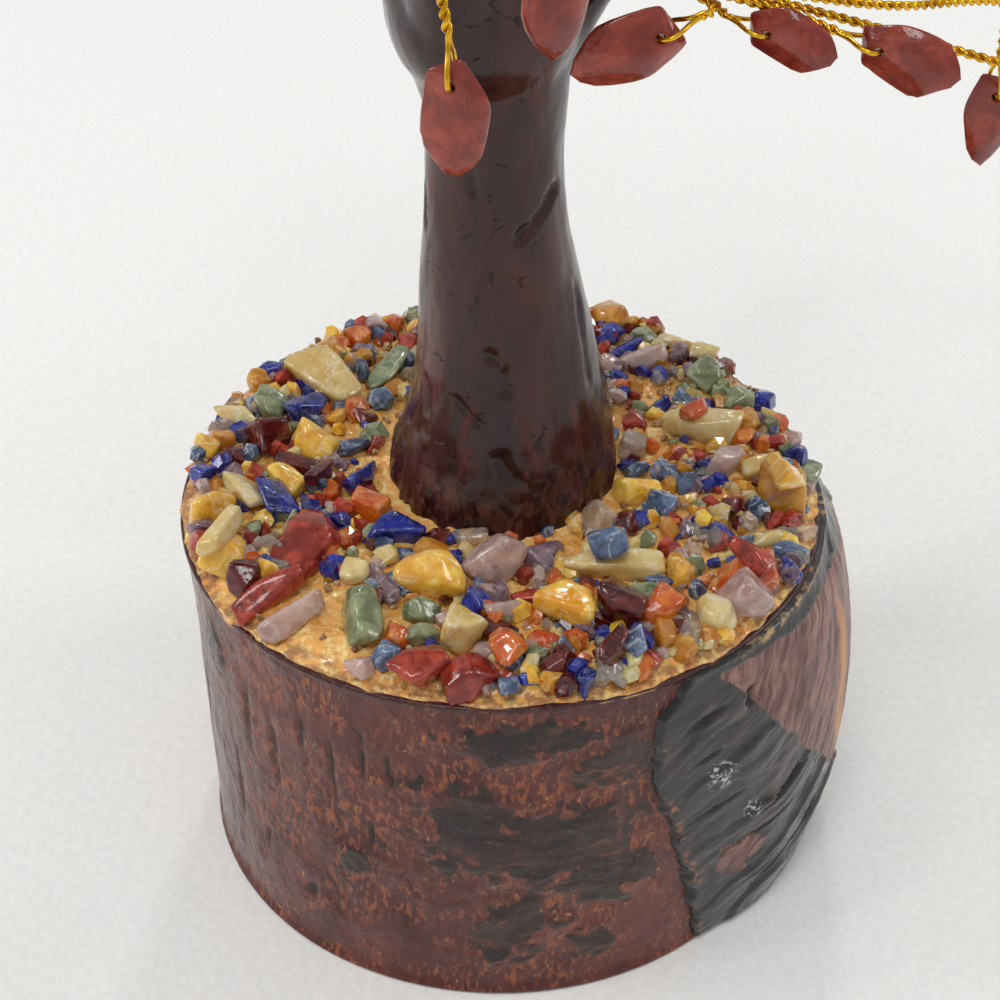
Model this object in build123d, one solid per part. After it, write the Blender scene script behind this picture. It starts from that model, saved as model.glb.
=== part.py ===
from build123d import *
import cmath
import math
import os

# Gemstone tree ornament: a log slice, a lacquered putty trunk set in it, a ring of glued stone chips
# and a crown of drilled jasper chips on twisted gold wire.
# Millimetres, +Z up, origin in the middle of the underside, front towards -Y.

# Log slice
LOG_RADIUS = 37.3
LOG_HEIGHT = 46.5
LOG_OVAL = 0.5
LOG_LOBES = 0.4
LOG_EDGE_ROUND = 0.6

# Outer bark, left on the right side of the log between two torn edges and swollen like a barrel between them
BARK_THICKNESS = 1.6
BARK_SWELL = 4.6
BARK_SWELL_MIDDLE = -8
BARK_SWELL_SPAN = 60
BARK_WAIST_HEIGHT = 21
BARK_WAIST_REACH = 30.5
BARK_SECTIONS = 7
BARK_START = -62
BARK_END = 80
BARK_ABOVE_GROUND = 1.0
BARK_BELOW_RIM = 0.8
BARK_TEETH = 7
BARK_TOOTH_DEPTH = 2.2
FURROW_COUNT = 13
FURROW_DEPTH = 0.9
FURROW_LENGTH = 24
FURROW_TILT = 34

# Sawdust and glue on the sawn top
BED_THICKNESS = 1.2
BED_INSET = 1.0
BED_CLEARANCE = 0.05

# Putty trunk: height above the log, radius and sideways lean of each section
TRUNK_SECTIONS = (
    (0, 13.1, 0.3),
    (11, 11.5, 1.0),
    (24, 9.3, 0.4),
    (36, 7.5, -0.4),
    (42, 7.1, -0.4),
    (53, 8.0, -0.6),
    (61, 8.6, -1.4),
)
TRUNK_BACKSET = 1.2
TRUNK_CROWN_ROUND = 3.0

# Limbs of the trunk: compass angle, reach from the trunk and rise above the fork
LIMBS = {
    "right": (2, 9, 1.5),
    "back_right": (60, 22, 16),
    "back_left": (125, 22, 14),
    "left": (185, 18, 29),
    "front_left": (243, 15, 20),
    "front_right": (302, 15, 20),
    "leader": (90, 3, 38),
}
LIMB_ROOT_DEPTH = 12
LIMB_ROOT_RADIUS = 6.4
LIMB_MIDDLE_RADIUS = 4.8
LIMB_END_RADIUS = 3.7
LIMB_SAG = 0.5
FINGER_ROOT_RADIUS = 3.3
FINGER_TIP_RADIUS = 2.4

# Twisted gold wire
STRAND_RADIUS = 0.21
STRAND_SIDES = 4
WIRE_RADIUS = 2.6 * STRAND_RADIUS
WIRE_SIDES = 6
WIRES_PER_BRANCH = 7
WIRE_CLEARANCE = 0.06
SOCKET_DEPTH = 5
EYE_LENGTH = 4.3
EYE_WIDTH = 4.0
EYE_SHOULDER = 1.7
EYE_NECK = 0.8

# Wire branches: limb, compass angle, elevation, finger length, bundle length, hanging wires
BRANCHES = (
    ("right", -6, -12, 5.5, 17, (1, 3)),
    ("right", 20, 40, 15, 13, ()),
    ("back_right", 42, 14, 14, 14, (4, 6)),
    ("back_right", 82, 46, 14, 13, (5,)),
    ("back_left", 113, 12, 14, 14, (4, 5)),
    ("back_left", 152, 44, 14, 13, (4,)),
    ("left", 183, 12, 14, 14, (4, 6)),
    ("left", 224, 50, 14, 13, (4, 6)),
    ("front_left", 250, 48, 13, 13, (2, 4)),
    ("front_right", 300, 48, 13, 13, (2, 5)),
    ("leader", 292, 66, 13, 13, ()),
    ("leader", 100, 70, 13, 13, (5,)),
)
# Wires bent by hand: branch and wire, then the compass facing of the hole and the points of the wire,
# counted from the tip of its finger, of which the last is the middle of the hole
HAND_BENT = {
    (0, 4): (270, (
        (5.5, -0.2, -2.4), (6.6, -0.3, -3.6), (7.5, -2.3, -3.7), (11.4, -3.9, -4.6))),
    (0, 5): (270, (
        (5.0, -1.1, -2.0), (6.2, -2.5, -2.7), (5.7, -4.1, -2.8), (4.6, -4.8, -2.6), (0.7, -5.4, -4.2))),
    (0, 6): (270, (
        (13.5, -2.5, -2.9), (17.9, -4.7, -4.3), (21.6, -6.2, -5.2))),
    (8, 4): (262, (
        (-2.1, -5.7, 5.2), (-1.5, -10.5, 4), (2.5, -9.8, -1), (5.6, -7.9, -22.9), (5.8, -7.6, -27.2))),
    (9, 5): (283, (
        (2.3, -5.5, 5.4), (0, -10, 4), (-5, -8.5, -1), (-7.3, -6.2, -13.7), (-7.5, -6, -18))),
}
FAN_SPREAD = 42
FAN_REACH = 31
FAN_UNEVENNESS = 0.3
MIDDLE_WIRE_BEND = 6
BUNDLE_TURN = 25
DROOP_REACH = 22
DROOP_TURN = 1.8
DROOP_DROP = 5

# Drilled leaf chips
LEAF_LENGTH = 12.2
LEAF_WIDTH = 7.2
LEAF_THICKNESS = 2.8
LEAF_HOLE_RADIUS = 0.45
LEAF_HOLE_SIDES = 8
LEAF_HOLE_INSET = 2.5

# Wire armature inside the trunk
ARMATURE_ROD_RADIUS = 1.6
ARMATURE_CLEARANCE = 0.06
ARMATURE_IN_LOG = 24
ARMATURE_BELOW_FORK = 6

# Glued chips: compass angle about the trunk, share of the way from trunk to rim, length, width, turn
CHIPS = {
    "lapis": (
        (140, 0.80, 4.5, 1.5, 130), (157, 0.55, 5.5, 2.5, 45), (191, 0.15, 7.5, 2.0, 65),
        (197, 0.57, 7.0, 2.5, 120), (200, 0.42, 4.5, 2.0, 125), (184, 0.95, 3.0, 2.0, 145),
        (211, 0.33, 3.5, 2.0, 115), (225, 0.20, 6.0, 2.5, 20), (244, 0.05, 3.0, 1.5, 135),
        (226, 0.52, 2.2, 1.5, 120), (263, 0.50, 3.5, 2.5, 35), (274, 0.95, 2.5, 1.5, 25),
        (283, 1.00, 2.5, 1.5, 50), (257, 0.80, 2.0, 1.5, 35), (57, 0.62, 5.0, 1.5, 35),
        (49, 0.40, 3.0, 1.5, 150), (31, 0.40, 3.0, 1.5, 30), (3, 0.93, 3.0, 2.5, 135),
        (332, 0.60, 2.5, 2.0, 130), (328, 0.98, 2.0, 2.0, 25),
    ),
    "sodalite": (
        (120, 0.77, 3.5, 1.5, 145), (132, 0.55, 5.0, 1.5, 100), (170, 0.22, 4.0, 2.0, 25),
        (192, 0.35, 3.5, 2.5, 130), (238, 0.27, 3.0, 1.5, 140), (243, 0.45, 4.0, 1.5, 120),
        (298, 0.43, 4.0, 3.5, 25), (281, 0.83, 2.5, 2.0, 150), (271, 1.00, 2.5, 2.0, 0),
        (293, 1.00, 2.5, 2.0, 145), (309, 0.57, 3.0, 1.5, 150), (23, 0.57, 3.0, 2.0, 120),
        (355, 0.10, 3.0, 1.5, 35), (350, 0.35, 2.5, 2.0, 0), (335, 0.28, 3.0, 3.0, 165),
        (332, 0.70, 2.0, 1.5, 125), (333, 1.00, 3.5, 2.0, 160),
    ),
    "red_jasper": (
        (163, 0.10, 4.5, 1.5, 75), (215, 0.53, 9.0, 4.5, 65), (219, 0.35, 2.0, 1.5, 50),
        (223, 0.96, 9.5, 3.0, 40), (281, 0.43, 8.0, 2.0, 5), (257, 0.95, 5.0, 3.5, 40),
        (264, 1.00, 5.5, 4.0, 25), (295, 0.97, 2.0, 1.5, 130), (24, 0.18, 3.0, 2.0, 135),
        (4, 0.37, 5.5, 1.5, 25), (7, 0.80, 4.0, 1.5, 0), (321, 1.00, 5.0, 2.0, 140),
    ),
    "carnelian": (
        (125, 0.82, 4.0, 2.0, 135), (211, 0.17, 5.0, 2.5, 145), (250, 0.80, 2.5, 2.0, 155),
        (272, 0.03, 2.0, 1.5, 130), (269, 0.90, 4.0, 2.5, 125), (278, 0.75, 3.5, 2.5, 135),
        (302, 0.75, 5.5, 3.5, 55), (12, 0.20, 2.5, 1.5, 125), (14, 0.37, 3.0, 2.0, 30),
        (333, 0.46, 3.5, 2.0, 35), (322, 0.86, 7.0, 5.0, 177), (315, 0.70, 3.0, 1.5, 30),
    ),
    "yellow_jasper": (
        (173, 0.38, 7.0, 3.5, 135), (188, 0.50, 4.5, 2.5, 140), (196, 0.90, 6.0, 4.0, 25),
        (210, 0.95, 5.5, 4.0, 10), (251, 0.38, 7.0, 4.0, 160), (284, 0.56, 6.0, 4.0, 0),
        (341, 0.13, 6.0, 2.5, 20), (349, 1.00, 6.0, 3.0, 115), (314, 0.60, 5.0, 2.5, 90),
    ),
    "citrine": (
        (134, 0.76, 4.0, 3.0, 135), (244, 0.18, 3.0, 2.5, 150), (65, 0.85, 6.5, 3.0, 120),
        (57, 0.92, 4.0, 2.0, 110), (14, 0.75, 3.0, 2.5, 165), (349, 0.83, 6.0, 5.0, 175),
    ),
    "moonstone": (
        (144, 0.58, 11.0, 3.5, 145), (164, 0.87, 6.5, 3.0, 135), (191, 0.72, 8.0, 3.0, 125),
        (206, 1.00, 9.0, 2.0, 70), (262, 0.70, 4.0, 4.0, 175), (231, 0.52, 2.5, 2.5, 0),
        (302, 0.36, 11.0, 3.0, 0), (292, 0.95, 3.5, 2.0, 110), (49, 0.87, 4.5, 2.0, 165),
        (16, 0.46, 10.0, 3.0, 160), (16, 0.90, 3.5, 1.5, 135), (357, 0.72, 4.5, 3.0, 10),
        (335, 0.83, 5.0, 2.5, 15), (309, 0.93, 4.5, 4.0, 125),
    ),
    "aventurine": (
        (128, 0.44, 9.0, 2.5, 60), (158, 0.73, 5.0, 3.5, 150), (204, 0.80, 4.0, 1.5, 5),
        (251, 0.60, 4.0, 3.0, 0), (242, 0.75, 8.0, 3.5, 105), (254, 0.73, 3.0, 2.0, 20),
        (303, 0.60, 4.5, 2.5, 30), (38, 0.85, 3.0, 2.0, 150), (34, 0.73, 4.0, 2.5, 40),
        (33, 0.59, 3.5, 2.0, 115), (35, 0.30, 2.0, 1.5, 60), (22, 0.80, 3.5, 2.0, 165),
        (319, 0.33, 2.0, 1.5, 165),
    ),
    "rose_quartz": (
        (230, 0.88, 9.0, 3.0, 40), (269, 0.23, 6.0, 4.0, 175), (270, 0.55, 4.5, 2.0, 10),
        (247, 1.00, 2.5, 2.5, 30), (49, 0.63, 7.0, 2.5, 30), (358, 0.32, 5.0, 1.5, 50),
        (0, 0.55, 7.0, 3.0, 40), (316, 1.00, 5.0, 4.0, 0),
    ),
    "amethyst": (
        (239, 0.51, 7.0, 2.0, 120), (287, 0.17, 5.0, 2.0, 60),
    ),
    "clear_quartz": (
        (212, 0.70, 4.5, 2.5, 135), (255, 0.00, 4.0, 1.5, 0), (315, 0.08, 4.0, 3.0, 30),
        (288, 0.96, 4.0, 3.0, 135), (9, 0.10, 3.0, 2.5, 170), (341, 0.38, 3.0, 1.5, 50),
        (338, 0.70, 2.5, 2.0, 160), (339, 1.00, 4.0, 1.5, 170),
    ),
    "garnet": (
        (169, 0.65, 5.5, 4.0, 20), (180, 0.45, 6.0, 2.5, 160), (192, 0.24, 4.5, 2.0, 60),
        (217, 0.92, 4.0, 3.0, 45), (295, 0.68, 5.5, 4.0, 140), (269, 0.68, 4.5, 2.5, 140),
        (286, 0.87, 4.0, 2.0, 50), (320, 0.18, 3.0, 2.5, 145),
    ),
}
CHIP_GAP = 0.06
CHIP_RIM_MARGIN = 0.7
CHIP_TRUNK_MARGIN = 0.15
CHIP_FLATTEST = 0.55
CHIP_TALLEST = 0.95
CHIP_BASE_SHARE = 0.72
CHIP_TOP_SHARE = 0.46
BED_CUTS = (1.0, 0.9, 0.8)
PILE_CUTS = (1.0, 0.85, 0.7, 0.55)
FILL_LENGTHS = (3.2, 2.3)
FILL_WIDTH_SHARE = 0.65
FILL_TRIES = 170

# Ratios whose multiples spread evenly between 0 and 1
GOLDEN = 0.6180340
PLASTIC = 0.7548777
SQUARE_PLASTIC = 0.5698403

log_top = LOG_HEIGHT
bed_top = log_top + BED_THICKNESS
trunk_height = TRUNK_SECTIONS[-1][0]
fork_height = log_top + trunk_height
foot_radius = TRUNK_SECTIONS[0][1]
foot_centre = Vector(TRUNK_SECTIONS[0][2], TRUNK_BACKSET, log_top)
foot_middle = complex(foot_centre.X, foot_centre.Y)
ring_wires = WIRES_PER_BRANCH - 1
bundle_ring = (2 * WIRE_RADIUS + WIRE_CLEARANCE) * max(1.0, 0.5 / math.sin(math.pi / ring_wires))
socket_radius = bundle_ring + WIRE_RADIUS + WIRE_CLEARANCE
armature_ring = 2 * ARMATURE_ROD_RADIUS + ARMATURE_CLEARANCE
armature_bore = armature_ring + ARMATURE_ROD_RADIUS + ARMATURE_CLEARANCE
UP = Vector(0, 0, 1)
STANDING = (Align.CENTER, Align.CENTER, Align.MIN)
SUNK = (Align.CENTER, Align.CENTER, Align.MAX)


def spread(index, ratio=GOLDEN):
    """An even but irregular share between 0 and 1 for the given count."""
    return (index * ratio) % 1.0


def heading(angle, elevation=0.0):
    """Unit vector at a compass angle from +X towards +Y and an elevation, in degrees."""
    level = math.cos(math.radians(elevation))
    return Vector(
        level * math.cos(math.radians(angle)),
        level * math.sin(math.radians(angle)),
        math.sin(math.radians(elevation)),
    )


def log_reach(angle):
    """Radius of the log's outline at a compass angle: an oval with three shallow lobes."""
    oval = LOG_OVAL * math.cos(math.radians(2 * (angle - 90)))
    lobes = LOG_LOBES * math.cos(math.radians(3 * (angle - 210)))
    return LOG_RADIUS + oval + lobes


def bark_thickness(angle, level):
    """Thickness of the bark at a compass angle and height: a swelling on the right, thinner to foot and rim."""
    swell = 0.0
    across = (angle - BARK_SWELL_MIDDLE + 180) % 360 - 180
    if abs(across) < BARK_SWELL_SPAN:
        swell = BARK_SWELL * (0.5 + 0.5 * math.cos(math.pi * across / BARK_SWELL_SPAN))
    barrel = 1 - ((level - BARK_WAIST_HEIGHT) / BARK_WAIST_REACH) ** 2
    return (BARK_THICKNESS + swell) * barrel


def outline_face(reach_at, level=0.0):
    """Face at a height whose outline runs through the reach at every twelfth of a turn."""
    points = [heading(angle) * reach_at(angle) + UP * level for angle in range(0, 360, 30)]
    return make_face(Spline(*points, periodic=True))


def log_face(outward=0.0):
    """The log's outline as a face, moved outward by the given amount."""
    return outline_face(lambda angle: log_reach(angle) + outward)


def base_log():
    """Log slice with worn edges and the socket that holds the armature."""
    log = extrude(log_face(), LOG_HEIGHT)
    log = fillet(log.edges().group_by(Axis.Z)[-1], LOG_EDGE_ROUND)
    socket = Pos(0, TRUNK_BACKSET, log_top) * Cylinder(
        armature_bore, ARMATURE_IN_LOG, align=SUNK)
    return log - socket


def torn_edge(angle, side):
    """Cutter with a saw-toothed edge that trims the bark at a compass angle; side is -1 or +1."""
    face_plane = Plane(origin=(0, 0, 0), x_dir=heading(angle + 90), z_dir=heading(angle))
    step = LOG_HEIGHT / BARK_TEETH
    teeth = []
    for tooth in range(BARK_TEETH + 1):
        swing = BARK_TOOTH_DEPTH * (spread(tooth + 1) - 0.5)
        teeth.append((swing * 2, tooth * step))
    far = side * LOG_RADIUS
    outline = [(far, -step)] + [(teeth[0][0], -step)] + teeth + [(teeth[-1][0], LOG_HEIGHT + step)]
    outline.append((far, LOG_HEIGHT + step))
    cutter = face_plane * make_face(Polyline(*outline, close=True))
    return extrude(cutter, 2 * LOG_RADIUS, dir=heading(angle))


def outer_bark():
    """Curved bark plate on the right of the log, with torn edges and slanting furrows."""
    height = LOG_HEIGHT - BARK_ABOVE_GROUND - BARK_BELOW_RIM
    sections = []
    for section in range(BARK_SECTIONS):
        level = BARK_ABOVE_GROUND + height * section / (BARK_SECTIONS - 1)
        sections.append(outline_face(lambda angle: log_reach(angle) + bark_thickness(angle, level), level))
    bark = loft(sections, ruled=True) - extrude(log_face(), LOG_HEIGHT)
    middle = (BARK_START + BARK_END) / 2
    outside = 4 * LOG_RADIUS
    half_plane = Plane(origin=(0, 0, 0), x_dir=heading(middle + 90), z_dir=UP)
    behind = Box(outside, outside, outside, align=(Align.CENTER, Align.MIN, Align.CENTER))
    bark -= half_plane * behind
    bark -= torn_edge(BARK_START, -1)
    bark -= torn_edge(BARK_END, 1)
    for furrow in range(FURROW_COUNT):
        angle = BARK_START + (BARK_END - BARK_START) * spread(furrow + 1)
        level = BARK_ABOVE_GROUND + height * (furrow + 0.5) / FURROW_COUNT
        bottom = log_reach(angle) + bark_thickness(angle, level) - min(
            FURROW_DEPTH, bark_thickness(angle, level) / 2)
        floor = heading(angle) * bottom + UP * level
        place = Plane(origin=floor, x_dir=heading(angle + 90), z_dir=heading(angle))
        gouge = Rot(0, 0, FURROW_TILT) * Rot(45, 0, 0) * Box(
            FURROW_LENGTH, 2 * FURROW_DEPTH, 2 * FURROW_DEPTH,
            align=(Align.CENTER, Align.MIN, Align.MIN))
        bark -= place * gouge
    return bark


def glue_bed():
    """Layer of sawdust and glue with an opening for the foot of the trunk."""
    bed = Pos(0, 0, log_top) * extrude(log_face(-BED_INSET), BED_THICKNESS)
    opening = Pos(foot_centre) * Cylinder(
        foot_radius + BED_CLEARANCE, BED_THICKNESS, align=STANDING)
    return bed - opening


def limb_end(limb):
    """Middle of the rounded end of a limb."""
    angle, reach, rise = LIMBS[limb]
    return Vector(0, TRUNK_BACKSET, fork_height + rise) + heading(angle) * reach


def finger_tip(branch):
    """Where the wire bundle of a branch leaves the putty."""
    limb, angle, elevation, finger, bundle, hanging = branch
    return limb_end(limb) + heading(angle, elevation) * finger


def tapered(points, radii):
    """Loft through circles set square to the path at each of its points."""
    rings = []
    for index, point in enumerate(points):
        ahead = points[min(index + 1, len(points) - 1)]
        behind = points[max(index - 1, 0)]
        rings.append(Plane(origin=point, z_dir=ahead - behind) * Circle(radii[index]))
    return loft(rings)


def trunk():
    """Putty trunk with a flared foot, limbs, fingers that hold the wire, and a bore for the armature."""
    rings = []
    for height, radius, lean in TRUNK_SECTIONS:
        rings.append(Pos(lean, TRUNK_BACKSET, log_top + height) * Circle(radius))
    body = loft(rings)
    body += Pos(TRUNK_SECTIONS[-1][2], TRUNK_BACKSET, fork_height - TRUNK_CROWN_ROUND) * Sphere(
        TRUNK_SECTIONS[-1][1] + 0.5 * TRUNK_CROWN_ROUND)
    root = Vector(TRUNK_SECTIONS[-1][2], TRUNK_BACKSET, fork_height - LIMB_ROOT_DEPTH)
    for limb in LIMBS:
        end = limb_end(limb)
        middle = (root + end) * 0.5 + heading(LIMBS[limb][0]) * LIMB_SAG
        body += tapered([root, middle, end], [LIMB_ROOT_RADIUS, LIMB_MIDDLE_RADIUS, LIMB_END_RADIUS])
        body += Pos(end) * Sphere(LIMB_END_RADIUS * 1.05)
    for branch in BRANCHES:
        body += tapered([limb_end(branch[0]), finger_tip(branch)], [FINGER_ROOT_RADIUS, FINGER_TIP_RADIUS])
    for branch in BRANCHES:
        tip_plane = Plane(origin=finger_tip(branch), z_dir=heading(branch[1], branch[2]))
        body -= tip_plane * Cylinder(socket_radius, SOCKET_DEPTH, align=SUNK)
    bore = Pos(0, TRUNK_BACKSET, log_top) * Cylinder(
        armature_bore, trunk_height - ARMATURE_BELOW_FORK, align=STANDING)
    return body - bore


def armature_core():
    """Seven wire rods, one ringed by six, from the socket in the log up to the fork."""
    bottom = Vector(0, TRUNK_BACKSET, log_top - ARMATURE_IN_LOG)
    length = ARMATURE_IN_LOG + trunk_height - ARMATURE_BELOW_FORK
    rods = [Pos(bottom) * Cylinder(ARMATURE_ROD_RADIUS, length, align=STANDING)]
    for turn in range(0, 360, 60):
        rods.append(Pos(heading(turn) * armature_ring) * rods[0])
    return rods


def wire_route(number, wire):
    """Points of one doubled wire from its socket to the start of its eye, and the eye's direction.

    The wire runs straight in the bundle, then leaves at its own angle round the branch.  A hanging
    wire runs out, turns over and ends pointing down.
    """
    limb, angle, elevation, finger, bundle, hanging = BRANCHES[number]
    tip = finger_tip(BRANCHES[number])
    along = heading(angle, elevation)
    side = heading(angle - 90)
    above = side.cross(along)
    count = number * WIRES_PER_BRANCH + wire
    clock = math.radians(360 / ring_wires * wire + BUNDLE_TURN * spread(number))
    outward = side * math.cos(clock) + above * math.sin(clock)
    offset = outward * (bundle_ring if wire else 0.0)
    root = tip - along * (SOCKET_DEPTH - WIRE_CLEARANCE) + offset
    if (number, wire) in HAND_BENT:
        bends = [tip + Vector(*point) for point in HAND_BENT[number, wire][1]]
        eye = (bends[-1] - bends[-2]).normalized()
        straight = tip + along * (bends[0] - tip).dot(along) + offset
        return [root, straight, *bends[1:-1]], eye
    leave = tip + along * bundle * (0.8 + 0.4 * spread(count)) + offset
    bend = FAN_SPREAD * (1 + FAN_UNEVENNESS * (spread(count, PLASTIC) - 0.5)) if wire else MIDDLE_WIRE_BEND
    out = along * math.cos(math.radians(bend)) + outward * math.sin(math.radians(bend))
    if wire in hanging:
        crest = leave + out * DROOP_REACH
        level = Vector(out.X, out.Y, 0).normalized()
        shoulder = crest + level * DROOP_TURN - UP * DROOP_TURN
        return [root, leave, crest, shoulder, shoulder - UP * DROOP_DROP], -UP
    reach = FAN_REACH * (1 + FAN_UNEVENNESS * (spread(count, SQUARE_PLASTIC) - 0.5))
    knee = leave + (along + out).normalized() * reach * 0.45
    return [root, leave, knee, knee + out * reach * 0.55], out


def swept_wire(points, radius, sides):
    """Straight runs of flat-sided wire, mitred where one run meets the next."""
    start = Plane(origin=points[0], z_dir=points[1] - points[0])
    ring = []
    for side in range(sides):
        turn = math.radians(360 / sides * side)
        ring.append(points[0] + (start.x_dir * math.cos(turn) + start.y_dir * math.sin(turn)) * radius)
    rings = [ring]
    for index in range(1, len(points)):
        run = (points[index] - points[index - 1]).normalized()
        mitre = run
        if index + 1 < len(points):
            mitre = run + (points[index + 1] - points[index]).normalized()
        ring = [corner + run * ((points[index] - corner).dot(mitre) / run.dot(mitre)) for corner in ring]
        rings.append(ring)
    outlines = [rings[0], rings[-1]]
    for near, far in zip(rings, rings[1:]):
        for side in range(sides):
            beside = (side + 1) % sides
            outlines.append([near[side], near[beside], far[beside], far[side]])
    return Solid(Shell([Face(Wire.make_polygon(outline)) for outline in outlines]))


def eye_axis(number, wire, along):
    """Direction of the drilled hole: square to the wire, and level on a hanging leaf."""
    count = number * WIRES_PER_BRANCH + wire
    facing = heading(360 * spread(count, PLASTIC), 0 if wire in BRANCHES[number][5] else 60)
    if (number, wire) in HAND_BENT:
        facing = heading(HAND_BENT[number, wire][0])
    return (facing - along * facing.dot(along)).normalized()


def doubled_wire(points, along, axis):
    """One twisted pair whose two strands part into an eye that passes through the leaf."""
    bend = points[-1]
    hole = bend + along * EYE_LENGTH
    neck = bend + along * EYE_NECK
    goes_straight_on = (bend - points[-2]).normalized().dot(along) > 0.999
    run = points[:-1] if goes_straight_on else points
    half = axis * (EYE_WIDTH / 2)
    pinch = axis * (STRAND_RADIUS + WIRE_CLEARANCE / 2)
    inside = (bend + neck) * 0.5
    mouth = neck + along * STRAND_RADIUS
    shoulder = hole - along * EYE_SHOULDER
    eye = [inside + pinch, mouth + pinch, shoulder + half, hole + half]
    eye += [hole - half, shoulder - half, mouth - pinch, inside - pinch]
    return swept_wire([*run, neck], WIRE_RADIUS, WIRE_SIDES) + swept_wire(eye, STRAND_RADIUS, STRAND_SIDES)


def leaf_chip(count):
    """Flat irregular chip lying along +X, drilled through near one end at the origin."""
    length = LEAF_LENGTH * (0.82 + 0.36 * spread(count + 1))
    width = LEAF_WIDTH * (0.82 + 0.36 * spread(count, PLASTIC))
    thick = LEAF_THICKNESS * (0.85 + 0.3 * spread(count, SQUARE_PLASTIC))
    girdle = ((0.0, 0.22), (0.32, 0.5), (0.8, 0.36), (1.0, -0.06), (0.62, -0.5), (0.1, -0.38))
    front = ((0.12, 0.06), (0.5, 0.24), (0.66, -0.2))
    back = ((0.14, -0.1), (0.46, -0.24), (0.7, 0.16))
    points = []
    for level, ring in ((0.0, girdle), (0.5, front), (-0.5, back)):
        for corner, (share, side) in enumerate(ring):
            shift = 0.12 * (spread(count + 3 * corner, SQUARE_PLASTIC) - 0.5)
            points.append((
                share * length - LEAF_HOLE_INSET,
                (side + shift) * width,
                level * thick,
            ))
    hole = extrude(RegularPolygon(LEAF_HOLE_RADIUS, LEAF_HOLE_SIDES), 2 * LEAF_THICKNESS, both=True)
    return ConvexPolyhedron(points) - hole


def placed_leaf(count, hole, along, axis):
    """Leaf chip hung on its eye, pointing the way of the wire."""
    return Plane(origin=hole, x_dir=along, z_dir=axis) * leaf_chip(count)


def chip_outline(place, length, width, turn, count):
    """Five-cornered footprint of a base chip, as points of the plan."""
    corners = []
    for corner in range(5):
        swing = math.radians(72 * corner + 26 * (spread(count + corner, PLASTIC) - 0.5))
        reach = 0.5 * (0.95 + 0.2 * (spread(count + 2 * corner) - 0.5))
        local = complex(length * math.cos(swing), width * math.sin(swing)) * reach
        corners.append(place + local * cmath.rect(1, math.radians(turn)))
    return corners


def clear_of(chip, other):
    """Whether two footprints lie apart by the chip gap, seen along some edge of either."""
    if abs(chip.place - other.place) > (chip.length + other.length) * 0.6:
        return True
    for first, second in ((chip.outline, other.outline), (other.outline, chip.outline)):
        for start, end in zip(first, first[1:] + first[:1]):
            outward = (end - start) * -1j / abs(end - start)
            if min(((point - start) * outward.conjugate()).real for point in second) > CHIP_GAP:
                return True
    return False


def ring_place(angle, share):
    """Point of the plan at a compass angle about the trunk, a share of the way out to the rim."""
    inner = foot_radius + CHIP_TRUNK_MARGIN
    outer = log_reach(angle) - CHIP_RIM_MARGIN
    return foot_middle + cmath.rect(inner + share * (outer - inner), math.radians(angle))


class Chip:
    """Footprint, foot level, height and stone of one base chip."""

    def __init__(self, stone, place, length, width, turn, count):
        self.stone = stone
        self.count = count
        self.length = length
        self.place = place
        self.foot = bed_top
        self.outline = chip_outline(place, length, width, turn, count)
        squat = CHIP_FLATTEST + (CHIP_TALLEST - CHIP_FLATTEST) * spread(count, SQUARE_PLASTIC)
        self.height = width * squat

    def draw_in(self):
        """Move the footprint off the foot of the trunk and inside the rim."""
        facing = (self.place - foot_middle) / abs(self.place - foot_middle)
        nearest = min(((corner - foot_middle) * facing.conjugate()).real for corner in self.outline)
        inner = foot_radius + CHIP_TRUNK_MARGIN
        shift = facing * max(0.0, inner - nearest)
        for corner in self.outline:
            rim = log_reach(math.degrees(cmath.phase(corner))) - CHIP_RIM_MARGIN
            overhang = abs(corner) - rim
            if overhang > 0 and overhang > abs(shift):
                shift = -corner / abs(corner) * overhang
        self.move(shift)

    def move(self, shift):
        """Move the footprint in the plan."""
        self.place += shift
        self.outline = [corner + shift for corner in self.outline]

    def solid(self):
        """Convex stone with a flat foot, a wide girdle and a smaller flat top set to one side."""
        lean = (self.outline[self.count % 5] - self.place) * 0.2
        girdle = self.foot + self.height * (0.3 + 0.25 * spread(self.count))
        rings = [(corner, girdle) for corner in self.outline]
        for start, end in zip(self.outline, self.outline[1:]):
            edge = (start + end) * 0.5 - self.place
            rings.append((self.place + edge * CHIP_BASE_SHARE, self.foot))
        for corner in (0, 2, 3):
            reach = (self.outline[corner] - self.place) * CHIP_TOP_SHARE
            rings.append((self.place + reach + lean, self.foot + self.height))
        return ConvexPolyhedron([(point.real, point.imag, level) for point, level in rings])


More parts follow.
